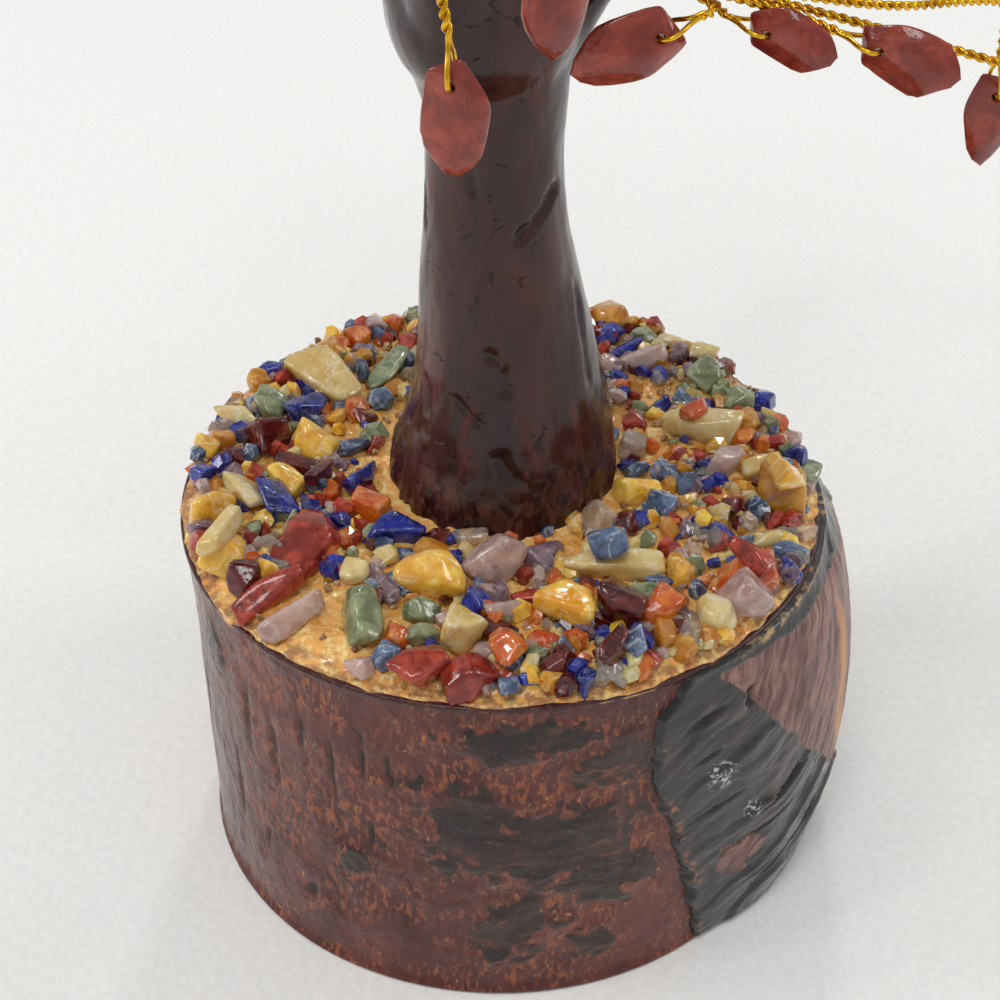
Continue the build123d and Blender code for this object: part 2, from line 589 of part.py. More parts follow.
def lay_chips():
    """Listed chips on the bed, small ones in the gaps, and the rest piled on those below them."""
    rows = [(stone, *row) for stone, stone_rows in CHIPS.items() for row in stone_rows]
    rows.sort(key=lambda row: -row[3] * row[4])
    bed = []
    to_pile = []
    for count, row in enumerate(rows):
        stone, angle, share, length, width, turn = row
        for cut in BED_CUTS:
            chip = Chip(stone, ring_place(angle, share), length * cut, width * cut, turn, count)
            chip.draw_in()
            if all(clear_of(chip, other) for other in bed):
                bed.append(chip)
                break
        else:
            to_pile.append((count, row))
    stones = list(CHIPS)
    for length in FILL_LENGTHS:
        for attempt in range(FILL_TRIES):
            place = ring_place(360 * spread(attempt, PLASTIC), math.sqrt(spread(attempt, SQUARE_PLASTIC)))
            stone = stones[(attempt * 7) % len(stones)]
            chip = Chip(stone, place, length, length * FILL_WIDTH_SHARE, 180 * spread(attempt), attempt)
            chip.draw_in()
            if all(clear_of(chip, other) for other in bed):
                bed.append(chip)
    piled = []
    for count, (stone, angle, share, length, width, turn) in to_pile:
        for cut in PILE_CUTS:
            chip = Chip(stone, ring_place(angle, share), length * cut, width * cut, turn, count)
            chip.draw_in()
            rest = max(bed, key=lambda other: other.height - abs(other.place - chip.place))
            chip.move(rest.place - chip.place)
            under = [other for other in bed if not clear_of(chip, other)]
            highest = max(under, key=lambda other: other.height)
            if highest is rest and all(clear_of(chip, other) for other in piled):
                chip.foot += rest.height
                piled.append(chip)
                break
    print("base chips:", len(bed), "on the bed,", len(piled), "piled")
    return bed + piled


def save(node, solids):
    """Write the solids of one node."""
    group = solids if isinstance(solids, list) else [solids]
    children = [solid for item in group for solid in item.solids()]
    export_step(Compound(children=children), f"parts/{node}.step")


os.makedirs("parts", exist_ok=True)
save("base_log", base_log())
save("outer_bark", outer_bark())
save("glue_bed", glue_bed())
save("trunk", trunk())
save("armature_core", armature_core())

chips = lay_chips()
for stone in CHIPS:
    save(f"{stone}_chips", [chip.solid() for chip in chips if chip.stone == stone])

hanging_leaf = 0
for number, branch in enumerate(BRANCHES):
    wires = []
    leaves = []
    for wire in range(WIRES_PER_BRANCH):
        count = number * WIRES_PER_BRANCH + wire
        points, along = wire_route(number, wire)
        axis = eye_axis(number, wire, along)
        hole = points[-1] + along * EYE_LENGTH
        wires.append(doubled_wire(points, along, axis))
        leaf = placed_leaf(count, hole, along, axis)
        if wire in branch[5]:
            hanging_leaf += 1
            name = f"hanging_leaf_{hanging_leaf:02d}"
            save(name, leaf)
            pivot = f"{hole.X:.3f} {hole.Y:.3f} {hole.Z:.3f}"
            print(f"{name} pivot {pivot} axis {axis.X:.5f} {axis.Y:.5f} {axis.Z:.5f}")
        else:
            leaves.append(leaf)
    save(f"branch_{number + 1:02d}_wires", wires)
    save(f"branch_{number + 1:02d}_leaves", leaves)
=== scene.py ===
"""Looks of the gemstone tree ornament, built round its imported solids.

Lengths are millimetres until a mesh is made.
"""

import bpy
import numpy as np
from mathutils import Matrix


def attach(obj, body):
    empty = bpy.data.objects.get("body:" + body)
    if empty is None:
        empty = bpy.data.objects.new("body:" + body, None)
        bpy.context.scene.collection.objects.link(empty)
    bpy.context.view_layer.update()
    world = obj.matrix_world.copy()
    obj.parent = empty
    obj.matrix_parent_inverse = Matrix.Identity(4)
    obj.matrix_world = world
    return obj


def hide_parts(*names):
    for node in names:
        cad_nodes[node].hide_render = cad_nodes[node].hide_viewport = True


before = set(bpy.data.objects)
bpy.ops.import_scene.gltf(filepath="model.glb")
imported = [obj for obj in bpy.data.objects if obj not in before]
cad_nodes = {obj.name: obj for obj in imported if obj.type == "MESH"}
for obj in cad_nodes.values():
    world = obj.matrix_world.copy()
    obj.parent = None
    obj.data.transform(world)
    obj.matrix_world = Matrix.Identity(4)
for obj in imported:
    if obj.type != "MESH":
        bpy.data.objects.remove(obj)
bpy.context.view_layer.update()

MM = 0.001
TREE = "tree"

# Log, bark and bed, as in the solids
LOG_RADIUS = 37.3
LOG_HEIGHT = 46.5
LOG_OVAL = 0.5
LOG_LOBES = 0.4
BARK_THICKNESS = 1.6
BARK_SWELL = 4.6
BARK_SWELL_MIDDLE = -8.0
BARK_SWELL_SPAN = 60.0
BARK_WAIST_HEIGHT = 21.0
BARK_WAIST_REACH = 30.5
BARK_START = -62.0
BARK_END = 80.0
BED_TOP = 47.7
BED_INSET = 1.0
# Place on the bed in front that has only fine grains: compass angles, least reach and largest grain
BARE_ANGLES = (-145, -95)
BARE_REACH = 27
BARE_GRAIN = 0.6

# Trunk, limbs and wire branches, as in the solids
TRUNK_BACKSET = 1.2
FOOT_RADIUS = 13.1
FOOT_MIDDLE = np.array([0.3, TRUNK_BACKSET])
FORK_HEIGHT = 107.5
LIMBS = {
    "right": (2, 9, 1.5),
    "back_right": (60, 22, 16),
    "back_left": (125, 22, 14),
    "left": (185, 18, 29),
    "front_left": (243, 15, 20),
    "front_right": (302, 15, 20),
    "leader": (90, 3, 38),
}
BRANCHES = (
    ("right", -6, -12, 5.5, 17, (1, 3)),
    ("right", 20, 40, 15, 13, ()),
    ("back_right", 42, 14, 14, 14, (4, 6)),
    ("back_right", 82, 46, 14, 13, (5,)),
    ("back_left", 113, 12, 14, 14, (4, 5)),
    ("back_left", 152, 44, 14, 13, (4,)),
    ("left", 183, 12, 14, 14, (4, 6)),
    ("left", 224, 50, 14, 13, (4, 6)),
    ("front_left", 250, 48, 13, 13, (2, 4)),
    ("front_right", 300, 48, 13, 13, (2, 5)),
    ("leader", 292, 66, 13, 13, ()),
    ("leader", 100, 70, 13, 13, (5,)),
)
HAND_BENT = {
    (0, 4): (270, (
        (5.5, -0.2, -2.4), (6.6, -0.3, -3.6), (7.5, -2.3, -3.7), (11.4, -3.9, -4.6))),
    (0, 5): (270, (
        (5.0, -1.1, -2.0), (6.2, -2.5, -2.7), (5.7, -4.1, -2.8), (4.6, -4.8, -2.6), (0.7, -5.4, -4.2))),
    (0, 6): (270, (
        (13.5, -2.5, -2.9), (17.9, -4.7, -4.3), (21.6, -6.2, -5.2))),
    (8, 4): (262, (
        (-2.1, -5.7, 5.2), (-1.5, -10.5, 4), (2.5, -9.8, -1), (5.6, -7.9, -22.9), (5.8, -7.6, -27.2))),
    (9, 5): (283, (
        (2.3, -5.5, 5.4), (0, -10, 4), (-5, -8.5, -1), (-7.3, -6.2, -13.7), (-7.5, -6, -18))),
}
WIRES_PER_BRANCH = 7
BUNDLE_RING = 1.152
BUNDLE_TURN = 25
SOCKET_REACH = 4.94
FAN_SPREAD = 42
FAN_REACH = 31
FAN_UNEVENNESS = 0.3
MIDDLE_WIRE_BEND = 6
DROOP_REACH = 22
DROOP_TURN = 1.8
DROOP_DROP = 5
EYE_LENGTH = 4.3
EYE_WIDTH = 4.0
EYE_SHOULDER = 1.7
EYE_NECK = 0.9
EYE_SLACK = 0.12
EYE_STEP = 0.4
KNEE_SHARE = 0.45
LEAF_MIDDLE = 3.0
LEAF_HOLE_RADIUS = 0.45
GOLDEN = 0.6180340
PLASTIC = 0.7548777
SQUARE_PLASTIC = 0.5698403
UP = np.array([0.0, 0.0, 1.0])

# Fineness of the surfaces
STRAND_RADIUS = 0.25
STRAND_OFFSET = 0.26
STRAND_SIDES = 6
TWIST_PITCH = 2.3
STEPS_PER_TWIST = 9
LOG_COLUMNS = 480
BARK_COLUMNS = 380
TRUNK_VOXEL = 0.43


def heading(angle, elevation=0.0):
    """Unit vector at a compass angle from +X towards +Y and an elevation, in degrees."""
    turn, rise = np.radians(angle), np.radians(elevation)
    return np.array([np.cos(rise) * np.cos(turn), np.cos(rise) * np.sin(turn), np.sin(rise)])


def spread(index, ratio=GOLDEN):
    """An even but irregular share between 0 and 1 for the given count."""
    return (index * ratio) % 1.0


def around(radius, angle, level):
    """Points at a radius and compass angle about the upright axis, at a level."""
    return np.stack([radius * np.cos(np.radians(angle)), radius * np.sin(np.radians(angle)), level], -1)


def ball_points(rise, turn):
    """Points of a unit ball for every elevation and compass angle given, in radians, as a grid."""
    rise, turn = np.meshgrid(rise, turn, indexing="ij")
    return np.stack([np.cos(rise) * np.cos(turn), np.cos(rise) * np.sin(turn), np.sin(rise)], -1)


def values_of(items, name, kind, width):
    """Rows of one property of all items of a mesh."""
    values = np.empty(len(items) * width, kind)
    items.foreach_get(name, values)
    return values.reshape(-1, width)


def unit(vectors):
    """Vectors divided by their lengths."""
    return vectors / np.linalg.norm(vectors, axis=-1, keepdims=True)


def ease(value, low, high):
    """0 below low, 1 above high, and a smooth cubic between."""
    share = np.clip((value - low) / (high - low), 0, 1)
    return share * share * (3 - 2 * share)


def lattice_noise(points, seed):
    """Smooth noise from -1 to 1: random values on whole-number lattice points, blended with a cubic ease."""
    cell = np.floor(points).astype(np.int64)
    share = points - cell
    share = share * share * (3 - 2 * share)
    total = np.zeros(points.shape[:-1])
    for corner in range(8):
        step = np.array([corner & 1, corner >> 1 & 1, corner >> 2 & 1])
        place = cell + step
        key = place[..., 0] * 73856093 ^ place[..., 1] * 19349663 ^ place[..., 2] * 83492791 ^ seed * 2654435761
        key = (key ^ key >> 15) * 2246822519 & 0xFFFFFFFF
        key = (key ^ key >> 13) * 3266489917 & 0xFFFFFFFF
        value = (key ^ key >> 16) / 0x7FFFFFFF - 1.0
        total += value * np.prod(np.where(step, share, 1 - share), axis=-1)
    return total


def rough_noise(points, seed, layers=4):
    """Lattice noise added up in layers, each twice as fine and half as strong as the one before."""
    total = np.zeros(points.shape[:-1])
    for layer in range(layers):
        total += lattice_noise(points * 2 ** layer + 17.3 * layer, seed + layer) / 2 ** layer
    return total


def grid_quads(rows, columns, wrap_rows=False, wrap_columns=True):
    """Quads between the points of a grid, row by row, joined end to end where asked."""
    index = np.arange(rows * columns).reshape(rows, columns)
    if wrap_rows:
        index = np.vstack([index, index[:1]])
    if wrap_columns:
        index = np.hstack([index, index[:, :1]])
    corners = (index[:-1, :-1], index[:-1, 1:], index[1:, 1:], index[1:, :-1])
    return np.stack(corners, axis=-1).reshape(-1, 4)


class Shell:
    """Points, quads and triangles of one closed surface, turned so that its faces look outwards."""

    def __init__(self, points, quads, triangles=None, smooth=True):
        self.smooth = smooth
        self.points = np.asarray(points, float).reshape(-1, 3)
        self.quads = quads.reshape(-1, 4)
        self.triangles = np.zeros((0, 3), int) if triangles is None else triangles.reshape(-1, 3)
        halves = np.vstack([self.quads[:, [0, 1, 2]], self.quads[:, [0, 2, 3]], self.triangles])
        first, second, third = (self.points[halves[:, k]] - self.points.mean(0) for k in range(3))
        if np.einsum("ij,ij->i", first, np.cross(second, third)).sum() < 0:
            self.quads = self.quads[:, ::-1]
            self.triangles = self.triangles[:, ::-1]


def capped(rows, smooth=True):
    """Shell of a grid that is closed round its columns and drawn to a point at its first and last row."""
    count, columns = rows.shape[:2]
    points = np.vstack([rows.reshape(-1, 3), rows[0].mean(0), rows[-1].mean(0)])
    ring = np.arange(columns)
    onward = np.roll(ring, -1)
    last = (count - 1) * columns
    start_fan = np.stack([onward, ring, np.full(columns, count * columns)], -1)
    end_fan = np.stack([last + ring, last + onward, np.full(columns, count * columns + 1)], -1)
    return Shell(points, grid_quads(count, columns), np.vstack([start_fan, end_fan]), smooth)


def make_piece(name, shells, material, slot, stands_for=(), body=TREE, **fields):
    """Object made of the given shells, at the origin; a field is a value for every point, kept on the mesh."""
    starts = np.cumsum([0] + [len(shell.points) for shell in shells[:-1]])
    points = np.vstack([shell.points for shell in shells]) * MM
    quads = np.vstack([shell.quads + start for shell, start in zip(shells, starts)])
    triangles = np.vstack([shell.triangles + start for shell, start in zip(shells, starts)])
    corners = np.concatenate([quads.ravel(), triangles.ravel()]).astype(np.int32)
    sizes = np.concatenate([np.full(len(quads), 4), np.full(len(triangles), 3)])
    smooth = [np.full(len(shell.quads), shell.smooth) for shell in shells]
    smooth += [np.full(len(shell.triangles), shell.smooth) for shell in shells]
    mesh = bpy.data.meshes.new(name)
    mesh.vertices.add(len(points))
    mesh.vertices.foreach_set("co", points.astype(np.float32).ravel())
    mesh.loops.add(len(corners))
    mesh.loops.foreach_set("vertex_index", corners)
    mesh.polygons.add(len(sizes))
    mesh.polygons.foreach_set("loop_start", (np.cumsum(sizes) - sizes).astype(np.int32))
    mesh.polygons.foreach_set("use_smooth", np.concatenate(smooth))
    mesh.update(calc_edges=True)
    mesh.validate()
    for field, values in fields.items():
        mesh.attributes.new(field, "FLOAT", "POINT").data.foreach_set("value", values.astype(np.float32))
    mesh.materials.append(material)
    made = bpy.data.objects.new(name, mesh)
    bpy.context.scene.collection.objects.link(made)
    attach(made, body)
    if stands_for:
        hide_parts(*stands_for)
    return made


def srgb(red, green, blue):
    """Linear colour, with alpha, of a colour written as 0 to 255 screen values."""
    share = np.array([red, green, blue]) / 255.0
    linear = np.where(share <= 0.04045, share / 12.92, ((share + 0.055) / 1.055) ** 2.4)
    return (*map(float, linear), 1.0)


def fill(tree, node, inputs):
    """Set the inputs of a node; an input that is given a socket is linked to it."""
    for key, value in inputs.items():
        if isinstance(value, bpy.types.NodeSocket):
            tree.links.new(value, node.inputs[key])
        else:
            node.inputs[key].default_value = value


def add_node(tree, kind, inputs=None, **settings):
    """Node with its settings and inputs."""
    node = tree.nodes.new(kind)
    for key, value in settings.items():
        setattr(node, key, value)
    fill(tree, node, inputs or {})
    return node


def arithmetic(operation):
    """Function that places one kind of arithmetic on two values in a node tree."""
    def placed(tree, first, second):
        return add_node(tree, "ShaderNodeMath", {0: first, 1: second}, operation=operation).outputs[0]
    return placed


times = arithmetic("MULTIPLY")
plus = arithmetic("ADD")
minus = arithmetic("SUBTRACT")
larger = arithmetic("MAXIMUM")


def new_group(name, inputs, output):
    """Empty shader node group with named value sockets and a vector, and its inner input and output nodes."""
    group = bpy.data.node_groups.new(name, "ShaderNodeTree")
    group.interface.new_socket("Vector", in_out="INPUT", socket_type="NodeSocketVector")
    for socket, value in inputs.items():
        group.interface.new_socket(socket, in_out="INPUT", socket_type="NodeSocketFloat").default_value = value
    group.interface.new_socket(output, in_out="OUTPUT", socket_type="NodeSocketFloat")
    return group, group.nodes.new("NodeGroupInput").outputs, group.nodes.new("NodeGroupOutput").inputs


def make_mask_group():
    """Noise at a scale, cut between a low and a high level into a mask from 0 to 1."""
    group, given, made = new_group(
        "noise_mask", {"Scale": 100.0, "Detail": 4.0, "Warp": 0.0, "Low": 0.4, "High": 0.6}, "Mask")
    noise = add_node(group, "ShaderNodeTexNoise", {
        "Vector": given["Vector"], "Scale": given["Scale"],
        "Detail": given["Detail"], "Distortion": given["Warp"]})
    level = add_node(group, "ShaderNodeMapRange", {
        "Value": noise.outputs[0], "From Min": given["Low"], "From Max": given["High"]},
        interpolation_type="SMOOTHSTEP")
    group.links.new(level.outputs[0], made["Mask"])
    return group


def make_vein_group():
    """Thin winding lines of a given width where a noise crosses its middle value."""
    group, given, made = new_group("vein_lines", {"Scale": 100.0, "Width": 0.03}, "Mask")
    noise = add_node(group, "ShaderNodeTexNoise", {
        "Vector": given["Vector"], "Scale": given["Scale"], "Detail": 5.0, "Distortion": 0.8})
    away = arithmetic("ABSOLUTE")(group, minus(group, noise.outputs[0], 0.5), 0.0)
    line = add_node(group, "ShaderNodeMapRange", {
        "Value": away, "From Max": given["Width"], "To Min": 1.0, "To Max": 0.0})
    group.links.new(line.outputs[0], made["Mask"])
    return group


MASK_GROUP = make_mask_group()
VEIN_GROUP = make_vein_group()


def mask(tree, vector, scale, low, high, detail=4.0, warp=0.0):
    """Noise mask placed in a material."""
    return add_node(tree, "ShaderNodeGroup", {
        "Vector": vector, "Scale": scale, "Low": low, "High": high, "Detail": detail, "Warp": warp},
        node_tree=MASK_GROUP).outputs["Mask"]


def veins(tree, vector, scale, width):
    """Vein lines placed in a material."""
    return add_node(tree, "ShaderNodeGroup", {
        "Vector": vector, "Scale": scale, "Width": width}, node_tree=VEIN_GROUP).outputs["Mask"]


def tint(tree, factor, under, over):
    """Colour between under and over by a factor; each is a socket or the screen values of a colour."""
    under, over = (tone if isinstance(tone, bpy.types.NodeSocket) else srgb(*tone) for tone in (under, over))
    return add_node(tree, "ShaderNodeMix", {0: factor, 6: under, 7: over}, data_type="RGBA").outputs[2]


def ranged(tree, value, low, high):
    """A value from 0 to 1 brought to run from low to high."""
    return add_node(tree, "ShaderNodeMapRange", {"Value": value, "To Min": low, "To Max": high}).outputs[0]


def cut(tree, value, low, high):
    """0 where a value is below low, 1 where it is above high, and a straight run between."""
    return add_node(tree, "ShaderNodeMapRange", {"Value": value, "From Min": low, "From Max": high}).outputs[0]


def field_of(tree, name):
    """A value kept on the mesh's points."""
    return add_node(tree, "ShaderNodeAttribute", attribute_name=name).outputs["Fac"]


def paired(tree, first, second):
    """Coordinates made of two values."""
    return add_node(tree, "ShaderNodeCombineXYZ", {0: first, 1: second}).outputs[0]


def stretched(tree, vector, scale, turn=(0.0, 0.0, 0.0)):
    """Coordinates scaled by their own amount along each axis, and turned."""
    return add_node(tree, "ShaderNodeMapping", {"Vector": vector, "Scale": scale, "Rotation": turn}).outputs[0]


def bumped(tree, height, distance, strength):
    """Surface direction disturbed by a height."""
    return add_node(tree, "ShaderNodeBump", {
        "Height": height, "Distance": distance, "Strength": strength}).outputs[0]


def new_finish(name):
    """Material with its tree, its shader and the object's coordinates."""
    material = bpy.data.materials.new(name)
    material.use_nodes = True
    tree = material.node_tree
    return material, tree, tree.nodes["Principled BSDF"], add_node(tree, "ShaderNodeTexCoord").outputs["Object"]


def log_finish():
    """Lacquered wood: maroon mottled with orange fibre, smooth near-black remains of bark, and painted shade in
    its slits.
    """
    material, tree, shader, place = new_finish("log_lacquer")
    upright = stretched(tree, place, (1.0, 1.0, 0.45))
    colour = tint(tree, mask(tree, upright, 75, 0.34, 0.66, 6, 0.5), (72, 28, 27), (106, 52, 46))
    clouds = mask(tree, place, 260, 0.40, 0.70, 6, 0.8)
    colour = tint(tree, times(tree, clouds, 0.55), colour, (58, 26, 28))
    fibre = mask(tree, upright, 1500, 0.47, 0.64, 7, 0.5)
    ragged = mask(tree, place, 420, 0.15, 0.85, 8, 0.4)
    patch_level = plus(tree, field_of(tree, "patch"), ranged(tree, ragged, -0.34, 0.34))
    area = times(tree, mask(tree, place, 95, 0.42, 0.62, 6, 1.0), 0.8)
    area = larger(tree, area, times(tree, cut(tree, patch_level, 0.22, 0.5), 0.9))
    scrape = times(tree, fibre, larger(tree, area, field_of(tree, "scrape")))
    colour = tint(tree, times(tree, scrape, 0.72), colour, (164, 92, 54))
    fleck = times(tree, mask(tree, upright, 1700, 0.63, 0.70, 3, 0.8), area)
    colour = tint(tree, times(tree, fleck, 0.7), colour, (206, 146, 84))
    slanted = stretched(tree, place, (0.3, 0.6, 1.0), (0.0, 0.6, 0.0))
    patch_tone = tint(tree, mask(tree, slanted, 420, 0.36, 0.70, 6), (22, 15, 16), (60, 41, 40))
    strokes = times(tree, mask(tree, slanted, 900, 0.54, 0.66, 5, 0.5), mask(tree, place, 150, 0.44, 0.6))
    patch_tone = tint(tree, times(tree, strokes, 0.6), patch_tone, (134, 76, 50))
    colour = tint(tree, times(tree, cut(tree, patch_level, 0.46, 0.60), 0.94), colour, patch_tone)
    # Painted shade: the sunk slits are painted dark where shade falls in them
    slit = times(tree, field_of(tree, "slit"), ranged(tree, clouds, 1.0, 0.75))
    colour = tint(tree, slit, colour, (32, 29, 26))
    rim = times(tree, field_of(tree, "rim"), ranged(tree, fibre, 0.95, 0.55))
    grain = plus(tree, times(tree, fibre, 0.5), ranged(tree, clouds, 0.0, 1.6))
    fill(tree, shader, {
        "Base Color": tint(tree, rim, colour, (58, 22, 24)),
        "Roughness": ranged(tree, larger(tree, scrape, slit), 0.20, 0.46),
        "Normal": bumped(tree, grain, 0.00016, 0.6),
        "Specular IOR Level": 0.32, "Coat Weight": 0.15, "Coat Roughness": 0.12})
    return material


def bark_finish():
    """Lacquered bark: black with slanting strokes, a pink-brown fibrous area, ochre stripes, white glints
    painted on as highlights, and painted shade in its crevices.
    """
    material, tree, shader, place = new_finish("bark_black")
    grain = mask(tree, place, 700, 0.3, 0.75, 6, 0.6)
    lines = stretched(tree, paired(tree, field_of(tree, "run"), field_of(tree, "over")), (0.2, 1.0, 1.0))
    fine = mask(tree, lines, 0.7, 0.42, 0.68, 4, 0.8)
    stroke = plus(tree, times(tree, field_of(tree, "stroke"), 0.3), ranged(tree, fine, 0.0, 0.45))
    colour = tint(tree, stroke, (13, 12, 14), (58, 54, 56))
    worn = times(tree, mask(tree, place, 110, 0.50, 0.68, 5, 0.6), stroke)
    colour = tint(tree, times(tree, worn, 0.5), colour, (112, 88, 82))
    fibres = stretched(tree, paired(tree, field_of(tree, "steep"), field_of(tree, "level")), (1.0, 0.14, 1.0))
    fibre = mask(tree, fibres, 1.1, 0.36, 0.68, 5, 0.8)
    pith_tone = tint(tree, fibre, (84, 44, 40), (158, 116, 106))
    pith_tone = tint(tree, times(tree, grain, 0.5), pith_tone, (92, 52, 48))
    pith_tone = tint(tree, field_of(tree, "ochre"), pith_tone, (208, 138, 56))
    ragged = ranged(tree, mask(tree, place, 520, 0.2, 0.8, 6), -0.3, 0.3)
    pith = cut(tree, plus(tree, field_of(tree, "pith"), ragged), 0.42, 0.58)
    colour = tint(tree, pith, colour, pith_tone)
    patchy = mask(tree, place, 170, 0.44, 0.60, 3)
    crumbly = mask(tree, place, 900, 0.48, 0.60, 7, 0.6)
    torn = times(tree, times(tree, field_of(tree, "torn"), patchy), crumbly)
    colour = tint(tree, torn, colour, (158, 96, 60))
    crumbs = times(tree, field_of(tree, "rim"), mask(tree, place, 800, 0.48, 0.60, 5))
    crumbs = times(tree, crumbs, patchy)
    colour = tint(tree, crumbs, colour, (186, 148, 98))
    # Painted highlight: white glints at fixed spots stand in for lamp reflections on the gloss
    painted_glint = times(tree, field_of(tree, "painted_glint"), mask(tree, place, 1700, 0.50, 0.62, 6, 0.4))
    colour = tint(tree, times(tree, painted_glint, 0.75), colour, (210, 210, 212))
    dull = larger(tree, times(tree, pith, 0.8), larger(tree, torn, crumbs))
    height = plus(tree, stroke, times(tree, fibre, pith))
    fill(tree, shader, {
        # Painted shade: crevices and the crack along the torn edge are painted near-black where shade falls in
        # them
        "Base Color": tint(tree, field_of(tree, "crevice"), colour, (9, 8, 9)),
        "Roughness": ranged(tree, dull, 0.2, 0.55), "Normal": bumped(tree, height, 0.0002, 0.4),
        "Specular IOR Level": 0.42, "Coat Weight": 0.3, "Coat Roughness": 0.1})
    return material


def bed_finish():
    """Sawdust in clear glue: tan grains, darker wet hollows and a glossy coat."""
    material, tree, shader, place = new_finish("sawdust_bed")
    grain = mask(tree, place, 1100, 0.38, 0.66, 5)
    wet = mask(tree, place, 190, 0.42, 0.64, 5, 0.6)
    colour = tint(tree, grain, (242, 172, 80), (255, 222, 144))
    colour = tint(tree, times(tree, wet, 0.4), colour, (238, 156, 58))
    colour = tint(tree, times(tree, mask(tree, place, 520, 0.62, 0.7, 3), 0.18), colour, (140, 88, 46))
    fringe = times(tree, field_of(tree, "fringe"), mask(tree, place, 900, 0.36, 0.6, 5))
    fill(tree, shader, {
        "Base Color": tint(tree, times(tree, fringe, 0.75), colour, (138, 84, 52)),
        "Roughness": ranged(tree, wet, 0.55, 0.18), "Normal": bumped(tree, grain, 0.0003, 0.7),
        "Coat Weight": 0.5, "Coat Roughness": 0.08, "Subsurface Weight": 0.12,
        "Subsurface Radius": (1.0, 0.6, 0.3), "Subsurface Scale": 0.001})
    return material


def putty_finish():
    """Lacquered putty: chocolate brown with maroon streaks, dull places, fine cracks, a fibrous foot and
    painted shade in its creases.
    """
    material, tree, shader, place = new_finish("putty_lacquer")
    drawn = stretched(tree, place, (1.0, 1.0, 0.3))
    colour = tint(tree, mask(tree, drawn, 150, 0.36, 0.68, 5, 0.7), (38, 15, 15), (66, 28, 26))
    streak = mask(tree, stretched(tree, place, (1.0, 1.0, 0.16)), 230, 0.60, 0.74, 5, 0.6)
    colour = tint(tree, times(tree, streak, 0.6), colour, (104, 34, 32))
    fibre = mask(tree, stretched(tree, place, (1.0, 1.0, 0.5)), 620, 0.42, 0.66, 6, 1.0)
    foot = times(tree, field_of(tree, "foot"), fibre)
    colour = tint(tree, times(tree, foot, 0.6), colour, (104, 58, 44))
    broken = times(tree, field_of(tree, "dull"), mask(tree, drawn, 420, 0.40, 0.62, 6, 0.5))
    colour = tint(tree, broken, colour, (84, 26, 27))
    cracks = times(tree, veins(tree, place, 210, 0.022), mask(tree, place, 330, 0.52, 0.60, 3))
    cracks = times(tree, cracks, mask(tree, place, 60, 0.50, 0.60, 2))
    colour = tint(tree, cracks, colour, (13, 7, 8))
    smear = mask(tree, drawn, 420, 0.3, 0.75, 6, 0.5)
    coarse = larger(tree, foot, broken)
    height = minus(tree, times(tree, smear, 0.25), times(tree, cracks, 1.2))
    height = plus(tree, height, times(tree, coarse, 0.6))
    fill(tree, shader, {
        # Painted shade: the pressed creases are darkened where shade falls in them
        "Base Color": tint(tree, times(tree, field_of(tree, "crease"), 0.9), colour, (20, 9, 10)),
        "Roughness": plus(tree, ranged(tree, smear, 0.17, 0.28), ranged(tree, coarse, 0.0, 0.3)),
        "Normal": bumped(tree, height, 0.0003, 0.5),
        "Specular IOR Level": 0.34, "Coat Weight": 0.25, "Coat Roughness": 0.1})
    return material


def gold_finish():
    """Bright gold-coloured wire with small dull spots."""
    material, tree, shader, place = new_finish("gold_wire")
    dull = mask(tree, place, 400, 0.45, 0.75, 4)
    fill(tree, shader, {
        "Base Color": tint(tree, dull, (236, 186, 50), (190, 136, 24)),
        "Roughness": ranged(tree, dull, 0.2, 0.36), "Metallic": 1.0})
    return material


def stone_finish(name, dark, light, vein, scale, vein_share, glow=0.0, clear=0.0, rough=0.12):
    """Polished stone under clear glue: two tones in blotches, veins, and a shift of tone from chip to chip."""
    material, tree, shader, place = new_finish(name)
    tone = field_of(tree, "tone")
    shifted = add_node(
        tree, "ShaderNodeVectorMath", {0: place, 1: paired(tree, tone, tone)}, operation="ADD").outputs[0]
    blotch = mask(tree, shifted, scale * 1.2, 0.36, 0.64, 8, 0.8)
    share = plus(tree, times(tree, blotch, 0.7), times(tree, tone, 0.3))
    colour = tint(tree, share, dark, light)
    cloud = times(tree, mask(tree, shifted, scale * 1.7, 0.56, 0.72, 6, 1.2), vein_share)
    line = times(tree, veins(tree, shifted, scale * 0.7, 0.022), vein_share * 1.4)
    colour = tint(tree, larger(tree, cloud, line), colour, vein)
    speck = mask(tree, shifted, scale * 5, 0.44, 0.68, 6)
    scratch = mask(tree, shifted, scale * 3, 0.4, 0.75, 5)
    fill(tree, shader, {
        "Base Color": tint(tree, times(tree, speck, 0.4), colour, dark),
        "Roughness": ranged(tree, scratch, rough, rough + 0.16), "Normal": bumped(tree, scratch, 0.00012, 0.35),
        "Specular IOR Level": 0.3, "Coat Weight": 0.6, "Coat Roughness": 0.04, "Transmission Weight": clear,
        "Subsurface Weight": glow, "Subsurface Radius": (1.0, 0.7, 0.45), "Subsurface Scale": 0.0016})
    return material


